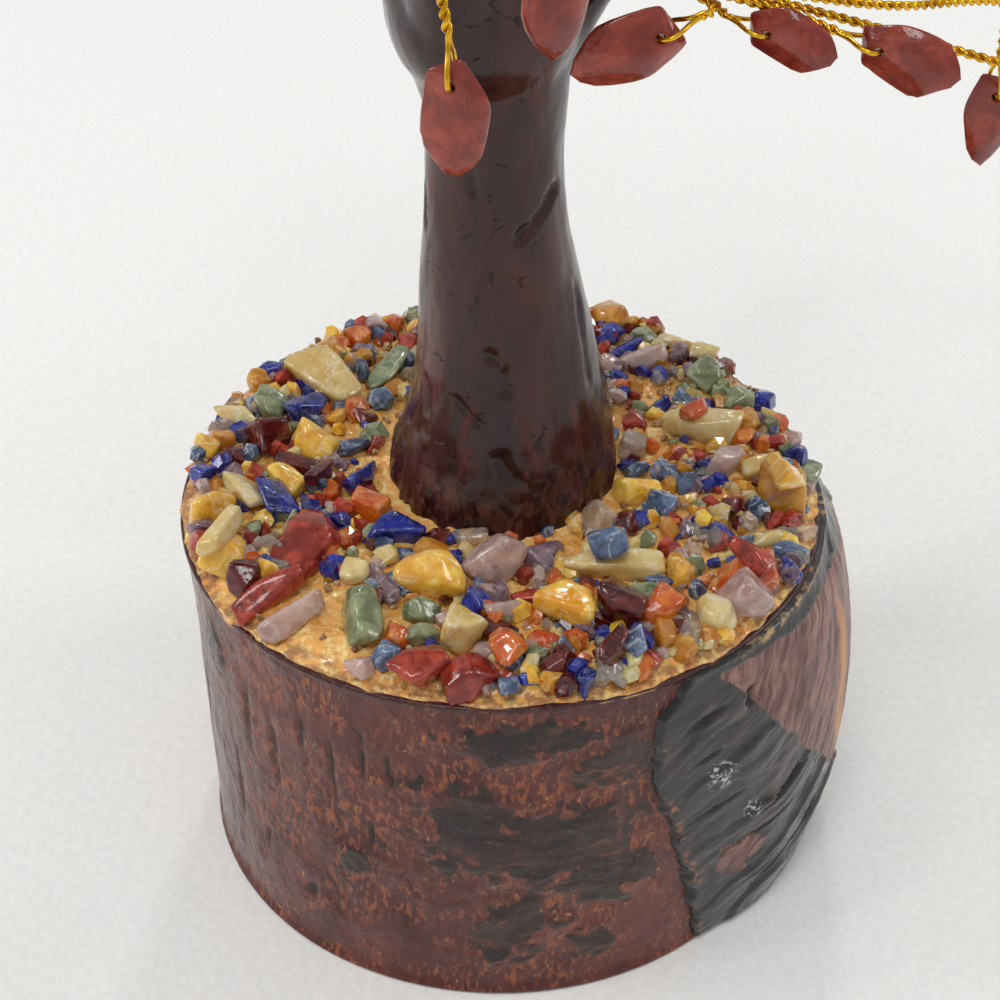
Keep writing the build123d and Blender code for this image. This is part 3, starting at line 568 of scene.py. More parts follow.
# Stones of the base: dark tone, light tone, vein, pattern scale, share of veins, glow and clearness
STONES = {
    "lapis": ((12, 15, 76), (44, 58, 170), (118, 128, 160), 420, 0.4, 0.0, 0.0),
    "sodalite": ((38, 50, 78), (106, 128, 160), (186, 192, 196), 380, 0.6, 0.05, 0.0),
    "red_jasper": ((120, 28, 20), (188, 74, 52), (82, 20, 20), 300, 0.5, 0.05, 0.0),
    "carnelian": ((206, 66, 8), (255, 152, 48), (250, 204, 150), 260, 0.45, 0.35, 0.35),
    "yellow_jasper": ((224, 150, 30), (255, 216, 92), (254, 240, 190), 260, 0.5, 0.35, 0.1),
    "citrine": ((208, 120, 14), (252, 192, 60), (252, 222, 146), 260, 0.4, 0.3, 0.45),
    "moonstone": ((228, 190, 106), (253, 236, 176), (252, 246, 228), 240, 0.5, 0.4, 0.3),
    "aventurine": ((104, 122, 84), (184, 194, 150), (220, 222, 194), 300, 0.5, 0.3, 0.35),
    "rose_quartz": ((204, 164, 156), (240, 216, 208), (252, 242, 238), 260, 0.5, 0.35, 0.5),
    "amethyst": ((122, 90, 112), (192, 164, 178), (230, 216, 220), 280, 0.5, 0.2, 0.55),
    "clear_quartz": ((216, 202, 186), (246, 240, 232), (252, 250, 248), 260, 0.4, 0.1, 0.8),
    "garnet": ((58, 8, 14), (122, 34, 32), (160, 66, 46), 320, 0.4, 0.15, 0.25),
}


def log_reach(angle):
    """Radius of the log's outline at compass angles: an oval with three shallow lobes."""
    oval = LOG_OVAL * np.cos(np.radians(2 * (angle - 90)))
    lobes = LOG_LOBES * np.cos(np.radians(3 * (angle - 210)))
    return LOG_RADIUS + oval + lobes


def ovals(angle, height, rows):
    """Largest share of several worn ovals: 1 in the middle of one, 0.5 on its outline, falling outwards."""
    total = np.zeros(np.broadcast(angle, height).shape)
    for middle, level, half_width, half_height in rows:
        across = (angle - middle + 180) % 360 - 180
        total = np.maximum(total, 1 - 0.5 * np.hypot(across / half_width, (height - level) / half_height))
    return total


# Marks on the log's side: compass angle, height, half width in degrees and half height
DARK_PATCHES = (
    (-95, 28, 11, 7), (-80, 24, 13, 7), (-71, 18, 9, 5), (-84, 41, 14, 2.2), (-70, 37, 6, 5),
    (-87, 11, 7, 4.5), (-74, 7, 6, 3), (-116, 19, 3, 2.4), (-150, 38, 4, 5), (-196, 30, 12, 8),
    (-236, 18, 14, 9), (-262, 34, 13, 6), (-215, 10, 11, 4), (-180, 12, 6, 4),
)
# Slits: sunk grooves whose dark colour is painted shade
SLITS = (
    (-139, 33, 0.55, 5.0), (-132.5, 31, 0.5, 5.5), (-125, 35, 0.5, 3.8), (-119, 33, 0.6, 4.6),
    (-113, 36.5, 0.5, 3.8), (-108, 35, 0.5, 3.0), (-145, 19, 0.5, 6.0), (-126, 10, 1.2, 1.6),
    (-136, 14, 0.4, 3.0), (-112, 24, 0.4, 2.0), (-160, 24, 0.5, 5.0), (-175, 15, 0.5, 5.5),
    (-190, 36, 0.5, 4.5), (-224, 34, 0.6, 5.0), (-250, 12, 0.5, 6.0),
)
SCRAPES = (
    (-118, 27, 14, 5), (-112, 14, 11, 5), (-76, 14, 9, 4), (-84, 4, 16, 3), (-67, 28, 3, 10), (-92, 36, 20, 3),
    (-136, 40, 9, 3), (-130, 22, 6, 8), (-180, 20, 12, 6), (-230, 38, 14, 5), (-258, 20, 8, 9),
)
RIM_ROWS = 8
SIDE_ROWS = 150
TOP_EDGE = 0.6
FOOT_EDGE = 0.9
END_RINGS = (2, 6, 14, LOG_RADIUS - 3)


def build_log(material):
    """Log slice: the outline swept down a profile of top, edge, side, edge and underside, and worn inwards.

    The side sinks by slow noise, by fibre drawn out upright, and by the depth of each slit and scrape; the
    patches of bark stay proud.
    """
    turn = np.linspace(-270, 90, LOG_COLUMNS, endpoint=False)
    arc = np.linspace(0, np.pi / 2, RIM_ROWS)
    inward = np.concatenate([
        END_RINGS[::-1], TOP_EDGE * (1 - np.sin(arc)), np.zeros(SIDE_ROWS),
        FOOT_EDGE * (1 - np.cos(arc)), END_RINGS])
    height = np.concatenate([
        np.full(len(END_RINGS), LOG_HEIGHT), LOG_HEIGHT - TOP_EDGE * (1 - np.cos(arc)),
        np.linspace(LOG_HEIGHT - TOP_EDGE, FOOT_EDGE, SIDE_ROWS + 2)[1:-1],
        FOOT_EDGE * (1 - np.sin(arc)), np.zeros(len(END_RINGS))])
    angle, level = np.meshgrid(turn, height)
    depth = np.repeat(inward[:, None], LOG_COLUMNS, axis=1)
    base = log_reach(angle)
    wall = around(base, angle, level)
    on_side = ease(level, 0.0, 1.6) * ease(LOG_HEIGHT - level, 0.0, 1.2) * (depth < 1.5)
    warp = 2.6 * rough_noise(wall / 6.0, 3, 3)
    patch = ovals(angle + warp, level + 0.6 * warp, DARK_PATCHES) + 0.10 * rough_noise(wall / 4.0, 9, 3)
    slit = ovals(angle + 0.22 * warp, level, SLITS) + 0.12 * rough_noise(wall / 1.5, 15, 2)
    slit = ease(slit, 0.3, 0.75)
    scrape = ease(ovals(angle + warp, level + warp, SCRAPES), 0.3, 0.75)
    slow = 0.5 + 0.5 * rough_noise(wall / 11.0, 21, 3) / 1.6
    fibre = rough_noise(wall * np.array([0.9, 0.9, 0.22]), 33, 3)
    proud = ease(patch, 0.44, 0.58)
    sunk = 0.6 * np.clip(slow, 0, 1) + 0.10 * fibre * (1 - proud) + 0.4 * slit + 0.22 * scrape - 0.22 * proud
    reach = base - depth - np.clip(sunk + 0.35, 0, 3) * on_side
    shell = capped(around(reach, angle, level))
    ends = np.zeros(2)
    rim = ease(level, LOG_HEIGHT - 1.6, LOG_HEIGHT - 0.5) * (depth < 4)
    fields = {"patch": patch * on_side, "slit": slit * on_side, "scrape": scrape * on_side, "rim": rim}
    fields = {name: np.concatenate([values.ravel(), ends]) for name, values in fields.items()}
    make_piece("log_slice", [shell], material, "lacquered_wood", ["base_log"], **fields)


BARK_ROWS = 170
BARK_BACK_ROWS = 6
BARK_FOOT = 1.0
BARK_HEAD = 45.8
BARK_EMBED = 1.2
STROKE_SLOPE = 33.0
FIBRE_SLOPE = 68.0
# Torn front edge of the bark: height and compass angle
TORN_EDGE = ((0, -53), (16.8, -57), (28.7, -62.4), (35.4, -64), (41, -62.7), (46, -59.5))
# Line below which the bark is whole and above which its fibrous inside shows: compass angle and height
PITH_LINE = (
    (-60, 52), (-48, 41), (-41, 33.4), (-34.5, 27.3), (-24, 18.4), (-8, 9), (12, 4), (24, 14), (30, 60),
    (40, 60), (50, 33), (60, 24), (70, 36), (76, 60),
)
PITH_TOP = 43.6
BROWN_SPOTS = ((-47, 13, 5, 3), (-42, 15, 4, 2))
OCHRE_STRIPES = ((-19.5, 29, 2.4, 11), (8, 30, 2.0, 9), (15, 20, 1.5, 7))
# Painted highlights, white glints on the bark's gloss: compass angle, height, half width in degrees and half
# height
PAINTED_GLINTS = ((-51.6, 29.8, 2.6, 1.9), (-44.6, 21.8, 1.3, 1.4), (36, 26, 2.0, 1.6))
# Open crevices of the bark, cut in and also painted near-black as shade: compass angle, height, half length,
# half width and slope in degrees
CREVICES = (
    (-56, 38.8, 4.5, 0.8, 24), (-60, 43.6, 3.0, 0.7, 50), (-46.5, 39.5, 1.8, 0.9, 70),
    (-52, 24.4, 5.5, 0.35, 20), (-44, 16.8, 7.0, 0.35, 27), (-38, 22.5, 6.0, 0.25, 31),
    (-33, 9, 8.0, 0.45, 30), (-55, 33, 3.5, 0.3, 22),
    (36, 34, 8.0, 0.5, 30), (40, 20, 7.0, 0.45, 36), (62, 22, 8.0, 0.5, 30), (70, 38, 5.0, 0.5, 40),
    (58, 8, 6.0, 0.4, 24), (4, 7, 5.0, 0.4, 30),
)


def bark_thickness(angle, level):
    """Thickness of the bark: a swelling on the right of the log, thinner towards its foot and rim."""
    across = np.clip((angle - BARK_SWELL_MIDDLE) / BARK_SWELL_SPAN, -1, 1)
    swell = BARK_SWELL * (0.5 + 0.5 * np.cos(np.pi * across))
    return (BARK_THICKNESS + swell) * (1 - ((level - BARK_WAIST_HEIGHT) / BARK_WAIST_REACH) ** 2)


def slanted_run(along, level, slope):
    """Distances along and across a line that climbs at a slope in degrees."""
    turn = np.radians(slope)
    return along * np.cos(turn) + level * np.sin(turn), level * np.cos(turn) - along * np.sin(turn)


def crevices_at(along, level):
    """Depth share of the open crevices: 1 in the middle of a slanting slot, 0 outside it."""
    total = np.zeros(along.shape)
    for angle, height, half_length, half_width, slope in CREVICES:
        run, over = slanted_run(along - np.radians(angle) * LOG_RADIUS, level - height, slope)
        total = np.maximum(total, 1 - np.hypot(run / half_length, over / half_width))
    return total


def build_bark(material):
    """Bark plate: a swollen sheet over the log's side, worn inwards by strokes, ledges and crevices.

    Strokes and ledges run up to the right at one slope; the fibrous inside shows beyond a slanting line and
    has steeper fibres.  The sheet dives under the log's skin at its torn edges, and a second sheet inside
    closes it.
    """
    turn = np.linspace(BARK_START - 6, BARK_END + 5, BARK_COLUMNS)
    angle, level = np.meshgrid(turn, np.linspace(BARK_FOOT, BARK_HEAD, BARK_ROWS))
    base = log_reach(angle)
    wall = around(base, angle, level)
    along = np.radians(angle) * LOG_RADIUS
    warp = rough_noise(wall / 6.0, 41, 4)
    run, over = slanted_run(along, level, STROKE_SLOPE)
    over = over + 0.9 * warp
    stroke = 0.5 + 0.5 * rough_noise(np.stack([run / 8, over / 0.9, 0 * over], -1), 43, 3)
    ledge = (over / 8.5 + 0.45 * rough_noise(wall / 12.0, 47, 2)) % 1.0
    plate = np.where(ledge < 0.9, ledge / 0.9, (1 - ledge) / 0.1)
    facet = ease(level + 0.6 * warp, 38.5, 40.0) * (1 - ease(angle, -40, -24))
    steep = along * np.sin(np.radians(FIBRE_SLOPE)) - level * np.cos(np.radians(FIBRE_SLOPE)) + 0.6 * warp
    fibre = 0.5 + 0.5 * rough_noise(np.stack([steep / 0.7, level / 9.0, 0 * level], -1), 59, 2)
    bound = np.interp(angle, *np.transpose(PITH_LINE))
    pith = ease(level - bound + 1.2 * warp, -1.2, 1.2) * ease(PITH_TOP - level + 0.8 * warp, -0.6, 0.6)
    pith = np.maximum(pith, ovals(angle + 3 * warp, level + warp, BROWN_SPOTS))
    crevice = ease(crevices_at(along + 0.5 * warp, level + 0.4 * warp) + 0.15 * warp, 0.1, 0.7)
    inside = ease(pith, 0.42, 0.6)
    smooth = np.maximum(facet, inside)
    relief = (0.2 * stroke + 0.5 * plate - 0.6) * (1 - smooth) - 0.25 * facet
    relief += inside * (0.14 * fibre - 0.5) - 0.9 * crevice + 0.05 * rough_noise(wall / 1.1, 61, 3)
    edge = np.minimum(angle - np.interp(level, *np.transpose(TORN_EDGE)), BARK_END - angle)
    edge += 1.6 * rough_noise(wall / 4.5, 67, 4)
    held = ease(edge, -0.8, 1.0)
    crack = ease(edge, -1.4, -0.5) * (1 - ease(edge, 0.2, 0.9))
    bevel = (0.2 + 0.8 * ease(BARK_HEAD - level, -1.0, 4.0)) * (0.22 + 0.78 * ease(edge, 0.0, 20.0))
    thickness = np.maximum((bark_thickness(angle, level) + relief) * bevel, 0.12)
    outer = base + thickness * held - BARK_EMBED * (1 - held)
    back_angle, back_level = np.meshgrid(turn, np.linspace(BARK_HEAD, BARK_FOOT, BARK_BACK_ROWS))
    back = around(log_reach(back_angle) - BARK_EMBED, back_angle, back_level)
    shell = capped(np.vstack([around(outer, angle, level), back]).transpose(1, 0, 2))
    fields = {
        "stroke": stroke, "run": run, "over": over, "steep": steep, "level": level, "pith": pith,
        # Painted shade in the crevices and in the crack where the bark meets the log
        "crevice": np.maximum(crevice, crack),
        "torn": ease(edge, 0.0, 0.8) * (1 - ease(edge, 1.2, 3.4)),
        "rim": ease(level + 0.5 * warp, BARK_HEAD - 0.7, BARK_HEAD - 0.1),
        "ochre": ease(ovals(angle + warp, level, OCHRE_STRIPES), 0.3, 0.7) * (0.4 + 0.6 * fibre),
        # Share of a painted highlight (white glint) at each point
        "painted_glint": ease(ovals(angle, level, PAINTED_GLINTS), 0.3, 0.7),
    }
    plain = np.zeros((BARK_BACK_ROWS, BARK_COLUMNS))
    fields = {
        name: np.append(np.vstack([values, plain]).T.ravel(), [0.0, 0.0]) for name, values in fields.items()}
    make_piece("bark_plate", [shell], material, "bark", ["outer_bark"], **fields)


BED_ROWS = 72
BED_SINK = 0.6
CRUMB_COUNT = 620
CRUMB_SIZES = (0.3, 0.85)
GRAIN_MARGIN = 1.4


def build_bed(material, crumb_material):
    """Bed of sawdust and glue: a ring from rim to trunk, lumped by noise, closed below; and its crumbs."""
    turn = np.linspace(0, 360, LOG_COLUMNS, endpoint=False)
    share = np.linspace(0, 1, BED_ROWS)
    angle, out = np.meshgrid(turn, share)
    rim = log_reach(angle) - 0.5 * BED_INSET + 0.35 * rough_noise(around(1.0, angle, 0 * angle) * 14, 71, 3)
    radius = rim + (FOOT_RADIUS - 1.2 - rim) * out
    flat = around(radius, angle, 0 * angle) + np.append(FOOT_MIDDLE, 0) * out[..., None]
    lumps = 0.42 * rough_noise(flat / 2.6, 73, 4) + 0.16 * rough_noise(flat / 0.9, 79, 2)
    shoulder = ease(out, 0.0, 0.10)
    top = LOG_HEIGHT + (BED_TOP - LOG_HEIGHT - 0.1) * (0.15 + 0.85 * shoulder)
    top += lumps * (0.35 + 0.65 * shoulder)
    top += 0.9 * ease(out, 0.86, 1.0)
    top = np.maximum(top, LOG_HEIGHT + 0.02)
    lower = (flat + UP * (LOG_HEIGHT - BED_SINK))[::-1]
    ring = np.vstack([flat + UP * top[..., None], lower])
    shell = Shell(ring, grid_quads(2 * BED_ROWS, LOG_COLUMNS, wrap_rows=True))
    fringe = 1 - ease(out + 0.02 * rough_noise(flat / 1.5, 81, 3), 0.03, 0.085)
    make_piece("sawdust_bed", [shell], material, "sawdust_glue", ["glue_bed"],
               fringe=np.vstack([fringe, 0 * fringe]).ravel())
    draw = np.random.default_rng(5)
    shells = scattered_grains(CRUMB_COUNT, CRUMB_SIZES, draw)
    tones = [np.full(len(crumb.points), draw.uniform()) for crumb in shells]
    make_piece("bed_crumbs", shells, crumb_material, "sawdust_glue", tone=np.concatenate(tones))


def scattered_grains(count, sizes, draw):
    """Broken grains lying on the bed, spread evenly from trunk to rim but for a bare place in front."""
    grains = []
    for index in range(count):
        angle = draw.uniform(0, 360)
        out = np.sqrt(draw.uniform(0, 1))
        size = draw.uniform(*sizes)
        reach = FOOT_RADIUS + (log_reach(angle) - GRAIN_MARGIN - FOOT_RADIUS) * out
        bare = BARE_ANGLES[0] < angle - 360 < BARE_ANGLES[1] and reach > BARE_REACH
        if bare and size > BARE_GRAIN:
            continue
        grain = crumb_shell(size, draw)
        grain.points += np.append(FOOT_MIDDLE * (1 - out), BED_TOP + 0.3 * size) + heading(angle) * reach
        grains.append(grain)
    return grains


def crumb_shell(size, draw):
    """Small broken grain: a coarse ball whose corners are pushed in and out at random."""
    ball = ball_points(np.radians([-50, 0, 50]), np.radians(np.arange(0, 360, 60)))
    reach = size * draw.uniform(0.82, 1.12, ball.shape[:2])
    stretch = np.array([1.0, draw.uniform(0.5, 1.0), draw.uniform(0.5, 0.9)])
    tilt = np.linalg.qr(draw.normal(size=(3, 3)))[0]
    return capped(ball * reach[..., None] * stretch @ tilt, smooth=False)


def solids_of(node):
    """The separate solids of a CAD node: for each, its corner points and the planes of its faces."""
    mesh = cad_nodes[node].data
    points = values_of(mesh.vertices, "co", np.float32, 3).astype(float) / MM
    mesh.calc_loop_triangles()
    triangles = values_of(mesh.loop_triangles, "vertices", np.int32, 3)
    merged, index = np.unique(np.round(points, 4), axis=0, return_inverse=True)
    triangles = index.reshape(-1)[triangles]
    label = np.arange(len(merged))
    while True:
        lowest = label[triangles].min(axis=1)
        spread_label = label.copy()
        for corner in range(3):
            np.minimum.at(spread_label, triangles[:, corner], lowest)
        if np.array_equal(spread_label, label):
            break
        label = spread_label
    found = []
    for value in np.unique(label[triangles[:, 0]]):
        own = triangles[label[triangles[:, 0]] == value]
        corners = merged[np.unique(own)]
        first, second, third = (merged[own[:, k]] for k in range(3))
        normals = np.cross(second - first, third - first)
        area = np.linalg.norm(normals, axis=1)
        normals, first = normals[area > 1e-6], first[area > 1e-6]
        planes = np.hstack([unit(normals), np.einsum("ij,ij->i", unit(normals), first)[:, None]])
        found.append((corners, np.unique(np.round(planes, 3), axis=0)))
    return found


def worn_reach(planes, middle, directions, sharpness):
    """Distance from a stone's middle to its worn surface in each direction.

    Each flat gives the reciprocal of its distance along the direction; their power sum, brought back by the
    root, follows the nearest flat and rounds the edges where two are near.
    """
    depth = planes[:, 3] - planes[:, :3] @ middle
    normals, depth = planes[depth > 0.05, :3], depth[depth > 0.05]
    facing = np.maximum(directions @ normals.T, 0) / depth
    largest = facing.max(-1, keepdims=True)
    return ((facing / largest) ** sharpness).sum(-1) ** (-1.0 / sharpness) / largest[..., 0]


CHIP_ROWS = 23
CHIP_COLUMNS = 34
CHIP_CUTS = 7
SPLINTER_SIZES = (0.6, 1.9)
CHIP_GROWTH = np.array([1.4, 1.34, 1.22])
SPLINTERS = 66
WARM_SPLINTERS = 108
WARM_STONES = ("carnelian", "yellow_jasper", "citrine", "moonstone", "red_jasper")
TUMBLED_STONES = ("moonstone", "citrine", "yellow_jasper", "rose_quartz", "aventurine")


def broken_chip(corners, tumbled, seed):
    """Chip broken from a stone: flats round a block as long, wide and high as the solid, with their edges worn.

    Six flats, a little askew, face along the block's axes; the others are cut across it in random directions.
    """
    draw = np.random.default_rng(seed)
    middle = corners.mean(0)
    axes = np.linalg.eigh((corners - middle).T @ (corners - middle))[1]
    across = (corners - middle) @ axes
    half = (across.max(0) - across.min(0)) / 2 * CHIP_GROWTH
    middle = middle + axes @ (across.max(0) + across.min(0)) / 2
    sides = unit(np.vstack([np.eye(3), -np.eye(3)]) + draw.normal(0, 0.2, (6, 3)))
    cuts = unit(draw.normal(size=(CHIP_CUTS, 3)) / half)
    normals = np.vstack([sides, cuts])
    depth = np.concatenate([
        np.tile(half, 2) * draw.uniform(0.8, 1.0, 6),
        np.linalg.norm(cuts * half, axis=1) * draw.uniform(0.74, 1.0, CHIP_CUTS)])
    planes = np.hstack([normals @ axes.T, depth[:, None] + normals @ axes.T @ middle[:, None]])
    latitude = np.linspace(-90, 90, CHIP_ROWS + 2)[1:-1]
    longitude = np.arange(CHIP_COLUMNS) * 360.0 / CHIP_COLUMNS
    directions = unit(ball_points(np.radians(latitude), np.radians(longitude)) * half) @ axes.T
    sharpness = draw.uniform(9, 18) if tumbled else draw.uniform(20, 44)
    reach = worn_reach(planes, middle, directions.reshape(-1, 3), sharpness).reshape(directions.shape[:2])
    lumps = 1 + 0.035 * rough_noise(directions * 2.2 + seed * 3.7, 83, 3)
    return capped(middle + directions * (reach * lumps)[..., None])


def build_chips(stone, material):
    """All chips of one stone, each worn in its own way and given its own tone."""
    shells = []
    tones = []
    for index, solid in enumerate(solids_of(f"{stone}_chips")):
        shell = broken_chip(solid[0], stone in TUMBLED_STONES, index + 31 * len(stone))
        shells.append(shell)
        tones.append(np.full(len(shell.points), spread(index + len(stone), PLASTIC)))
    draw = np.random.default_rng(sum(map(ord, stone)))
    count = WARM_SPLINTERS if stone in WARM_STONES else SPLINTERS
    for splinter in scattered_grains(count, SPLINTER_SIZES, draw):
        shells.append(splinter)
        tones.append(np.full(len(splinter.points), draw.uniform()))
    make_piece(f"{stone}_stones", shells, material, stone, [f"{stone}_chips"], tone=np.concatenate(tones))


def wire_route(number, wire):
    """Points of one doubled wire from its socket to the start of its eye, and the eye's direction."""
    limb, angle, elevation, finger, bundle, hanging = BRANCHES[number]
    limb_angle, reach, rise = LIMBS[limb]
    tip = np.array([0, TRUNK_BACKSET, FORK_HEIGHT + rise]) + heading(limb_angle) * reach
    along = heading(angle, elevation)
    tip = tip + along * finger
    side = heading(angle - 90)
    above = np.cross(side, along)
    count = number * WIRES_PER_BRANCH + wire
    clock = np.radians(360 / (WIRES_PER_BRANCH - 1) * wire + BUNDLE_TURN * spread(number))
    outward = side * np.cos(clock) + above * np.sin(clock)
    offset = outward * (BUNDLE_RING if wire else 0.0)
    root = tip - along * SOCKET_REACH + offset
    if (number, wire) in HAND_BENT:
        bends = [tip + np.array(point) for point in HAND_BENT[number, wire][1]]
        straight = tip + along * np.dot(bends[0] - tip, along) + offset
        return [root, straight, *bends[1:-1]], unit(bends[-1] - bends[-2])
    leave = tip + along * bundle * (0.8 + 0.4 * spread(count)) + offset
    bend = FAN_SPREAD * (1 + FAN_UNEVENNESS * (spread(count, PLASTIC) - 0.5)) if wire else MIDDLE_WIRE_BEND
    out = along * np.cos(np.radians(bend)) + outward * np.sin(np.radians(bend))
    if wire in hanging:
        crest = leave + out * DROOP_REACH
        shoulder = crest + unit(out * np.array([1, 1, 0])) * DROOP_TURN - UP * DROOP_TURN
        return [root, leave, crest, shoulder, shoulder - UP * DROOP_DROP], -UP
    reach = FAN_REACH * (1 + FAN_UNEVENNESS * (spread(count, SQUARE_PLASTIC) - 0.5))
    knee = leave + unit(along + out) * reach * KNEE_SHARE
    return [root, leave, knee, knee + out * reach * (1 - KNEE_SHARE)], out


def eye_axis(number, wire, along):
    """Direction of the drilled hole: square to the wire, and level on a hanging leaf."""
    count = number * WIRES_PER_BRANCH + wire
    facing = heading(360 * spread(count, PLASTIC), 0 if wire in BRANCHES[number][5] else 60)
    if (number, wire) in HAND_BENT:
        facing = heading(HAND_BENT[number, wire][0])
    return unit(facing - along * np.dot(facing, along))


def smooth_line(points, step):
    """Curve of second degree through the middles of the runs between points, with the same two ends."""
    points = np.array(points)
    middles = (points[:-1] + points[1:]) / 2
    starts = np.vstack([points[:1], middles[1:-1]])
    ends = np.vstack([middles[1:-1], points[-1:]])
    bends = points[1:-1]
    share = np.linspace(0, 1, 40, endpoint=False)[:, None, None]
    arcs = (1 - share) ** 2 * starts + 2 * share * (1 - share) * bends + share ** 2 * ends
    curve = np.vstack([arcs.transpose(1, 0, 2).reshape(-1, 3), points[-1:]])
    length = np.concatenate([[0], np.cumsum(np.linalg.norm(np.diff(curve, axis=0), axis=1))])
    even = np.linspace(0, length[-1], max(8, int(length[-1] / step)))
    return np.stack([np.interp(even, length, curve[:, k]) for k in range(3)], -1), even


def frames_along(curve):
    """Tangent and two square directions along a curve, from the fixed direction that it turns towards least."""
    tangent = unit(np.gradient(curve, axis=0))
    reference = np.linalg.svd(tangent)[2][2]
    beside = unit(np.cross(reference, tangent))
    return tangent, beside, np.cross(tangent, beside)


def doubled_wire(number, wire):
    """One wire laid double: out along a helix, round the eye through the leaf, and back facing it."""
    points, along = wire_route(number, wire)
    axis = eye_axis(number, wire, along)
    hole = points[-1] + along * EYE_LENGTH
    curve, length = smooth_line(points, TWIST_PITCH / STEPS_PER_TWIST)
    tangent, beside, over = frames_along(curve)
    phase = np.arctan2(np.dot(axis, over[-1]), np.dot(axis, beside[-1]))
    turn = phase + (length - length[-1]) * 2 * np.pi / TWIST_PITCH
    offset = STRAND_OFFSET * (beside * np.cos(turn)[:, None] + over * np.sin(turn)[:, None])
    half = axis * EYE_WIDTH / 2
    shoulder = hole - along * EYE_SHOULDER
    neck = points[-1] + along * EYE_NECK
    far = hole + along * EYE_SLACK
    eye = smooth_line([
        curve[-1] + offset[-1], neck + offset[-1], shoulder + half, far + half,
        far - half, shoulder - half, neck - offset[-1], curve[-1] - offset[-1]], EYE_STEP)[0]
    path = np.vstack([curve + offset, eye[1:-1], (curve - offset)[::-1]])
    return moving_tube(path, STRAND_RADIUS, STRAND_SIDES)


def moving_tube(path, radius, sides):
    """Round wire along a tightly turning path: the circle's first direction is carried on from point to point.

    Each step takes away the part of the last direction that lies along the new tangent.
    """
    tangent = unit(np.gradient(path, axis=0))
    beside = np.empty_like(tangent)
    current = np.cross(tangent[0], heading(31, 17))
    for index, direction in enumerate(tangent):
        current = current - direction * np.dot(current, direction)
        current = current / np.sqrt(np.dot(current, current))
        beside[index] = current
    over = np.cross(tangent, beside)
    turn = np.linspace(0, 2 * np.pi, sides, endpoint=False)
    circle = beside[:, None] * np.cos(turn)[:, None] + over[:, None] * np.sin(turn)[:, None]
    return capped(path[:, None] + radius * circle)


LEAF_COLUMNS = 44
LEAF_ROWS = 30
HOLE_ROWS = 3


def worn_leaf(planes, hole, along, axis, seed):
    """Drilled chip as a ring: at each turn about the hole, a line from its top edge over the rim to its foot.

    The line's points lie on the worn surface at elevations that crowd towards the rim; the wall of the hole
    closes the ring.
    """
    side = np.cross(axis, along)
    turn = np.linspace(0, 2 * np.pi, LEAF_COLUMNS, endpoint=False)
    level = np.cos(turn)[:, None] * along + np.sin(turn)[:, None] * side
    sharpness = 12 + 8 * spread(seed)

    def point_at(elevation):
        direction = level[None] * np.cos(elevation)[..., None] + axis * np.sin(elevation)[..., None]
        reach = worn_reach(planes, hole, direction.reshape(-1, 3), sharpness).reshape(elevation.shape)
        lumps = 1 + 0.02 * rough_noise(direction * 2.3 + seed * 1.7, 89, 2)
        return direction * (reach * lumps)[..., None], reach * np.cos(elevation)

    limits = []
    for sign in (1, -1):
        low = np.zeros((1, LEAF_COLUMNS))
        high = np.full((1, LEAF_COLUMNS), np.pi / 2)
        for halving in range(22):
            middle = (low + high) / 2
            outside = point_at(sign * middle)[1] > LEAF_HOLE_RADIUS
            low = np.where(outside, middle, low)
            high = np.where(outside, high, middle)
        limits.append(sign * low[0])
    share = np.linspace(-1, 1, LEAF_ROWS)[:, None]
    elevation = np.where(share < 0, limits[0] * np.abs(share) ** 2.0, limits[1] * np.abs(share) ** 2.0)
    surface = point_at(elevation)[0]
    climb = np.linspace(0, 1, HOLE_ROWS + 2)[1:-1, None, None]
    wall = surface[-1] * (1 - climb) + surface[0] * climb
    ring = np.concatenate([surface, wall]) + hole
    return Shell(ring, grid_quads(LEAF_ROWS + HOLE_ROWS, LEAF_COLUMNS, wrap_rows=True))


def build_branches(wire_material, leaf_material):
    """Wires and leaves of every branch; a leaf that hangs is a piece of its own on its own body."""
    hanging_count = 0
    for number, branch in enumerate(BRANCHES):
        wires = [doubled_wire(number, wire) for wire in range(WIRES_PER_BRANCH)]
        name = f"branch_{number + 1:02d}"
        make_piece(f"{name}_twisted_wires", wires, wire_material, "gold_wire", [f"{name}_wires"])
        solids = solids_of(f"{name}_leaves")
        middles = np.array([solid[0].mean(0) for solid in solids])
        shells = []
        tones = []
        for wire in range(WIRES_PER_BRANCH):
            count = number * WIRES_PER_BRANCH + wire
            points, along = wire_route(number, wire)
            axis = eye_axis(number, wire, along)
            hole = points[-1] + along * EYE_LENGTH
            if wire in branch[5]:
                hanging_count += 1
                node = f"hanging_leaf_{hanging_count:02d}"
                shell = worn_leaf(solids_of(node)[0][1], hole, along, axis, count)
                make_piece(f"{node}_chip", [shell], leaf_material, "leaf_jasper", [node], node,
                           tone=np.full(len(shell.points), spread(count, PLASTIC)))
                continue
            nearest = np.linalg.norm(middles - hole - along * LEAF_MIDDLE, axis=1).argmin()
            shell = worn_leaf(solids[nearest][1], hole, along, axis, count)
            shells.append(shell)
            tones.append(np.full(len(shell.points), spread(count, PLASTIC)))
        make_piece(f"{name}_leaf_chips", shells, leaf_material, "leaf_jasper", [f"{name}_leaves"],
                   tone=np.concatenate(tones))
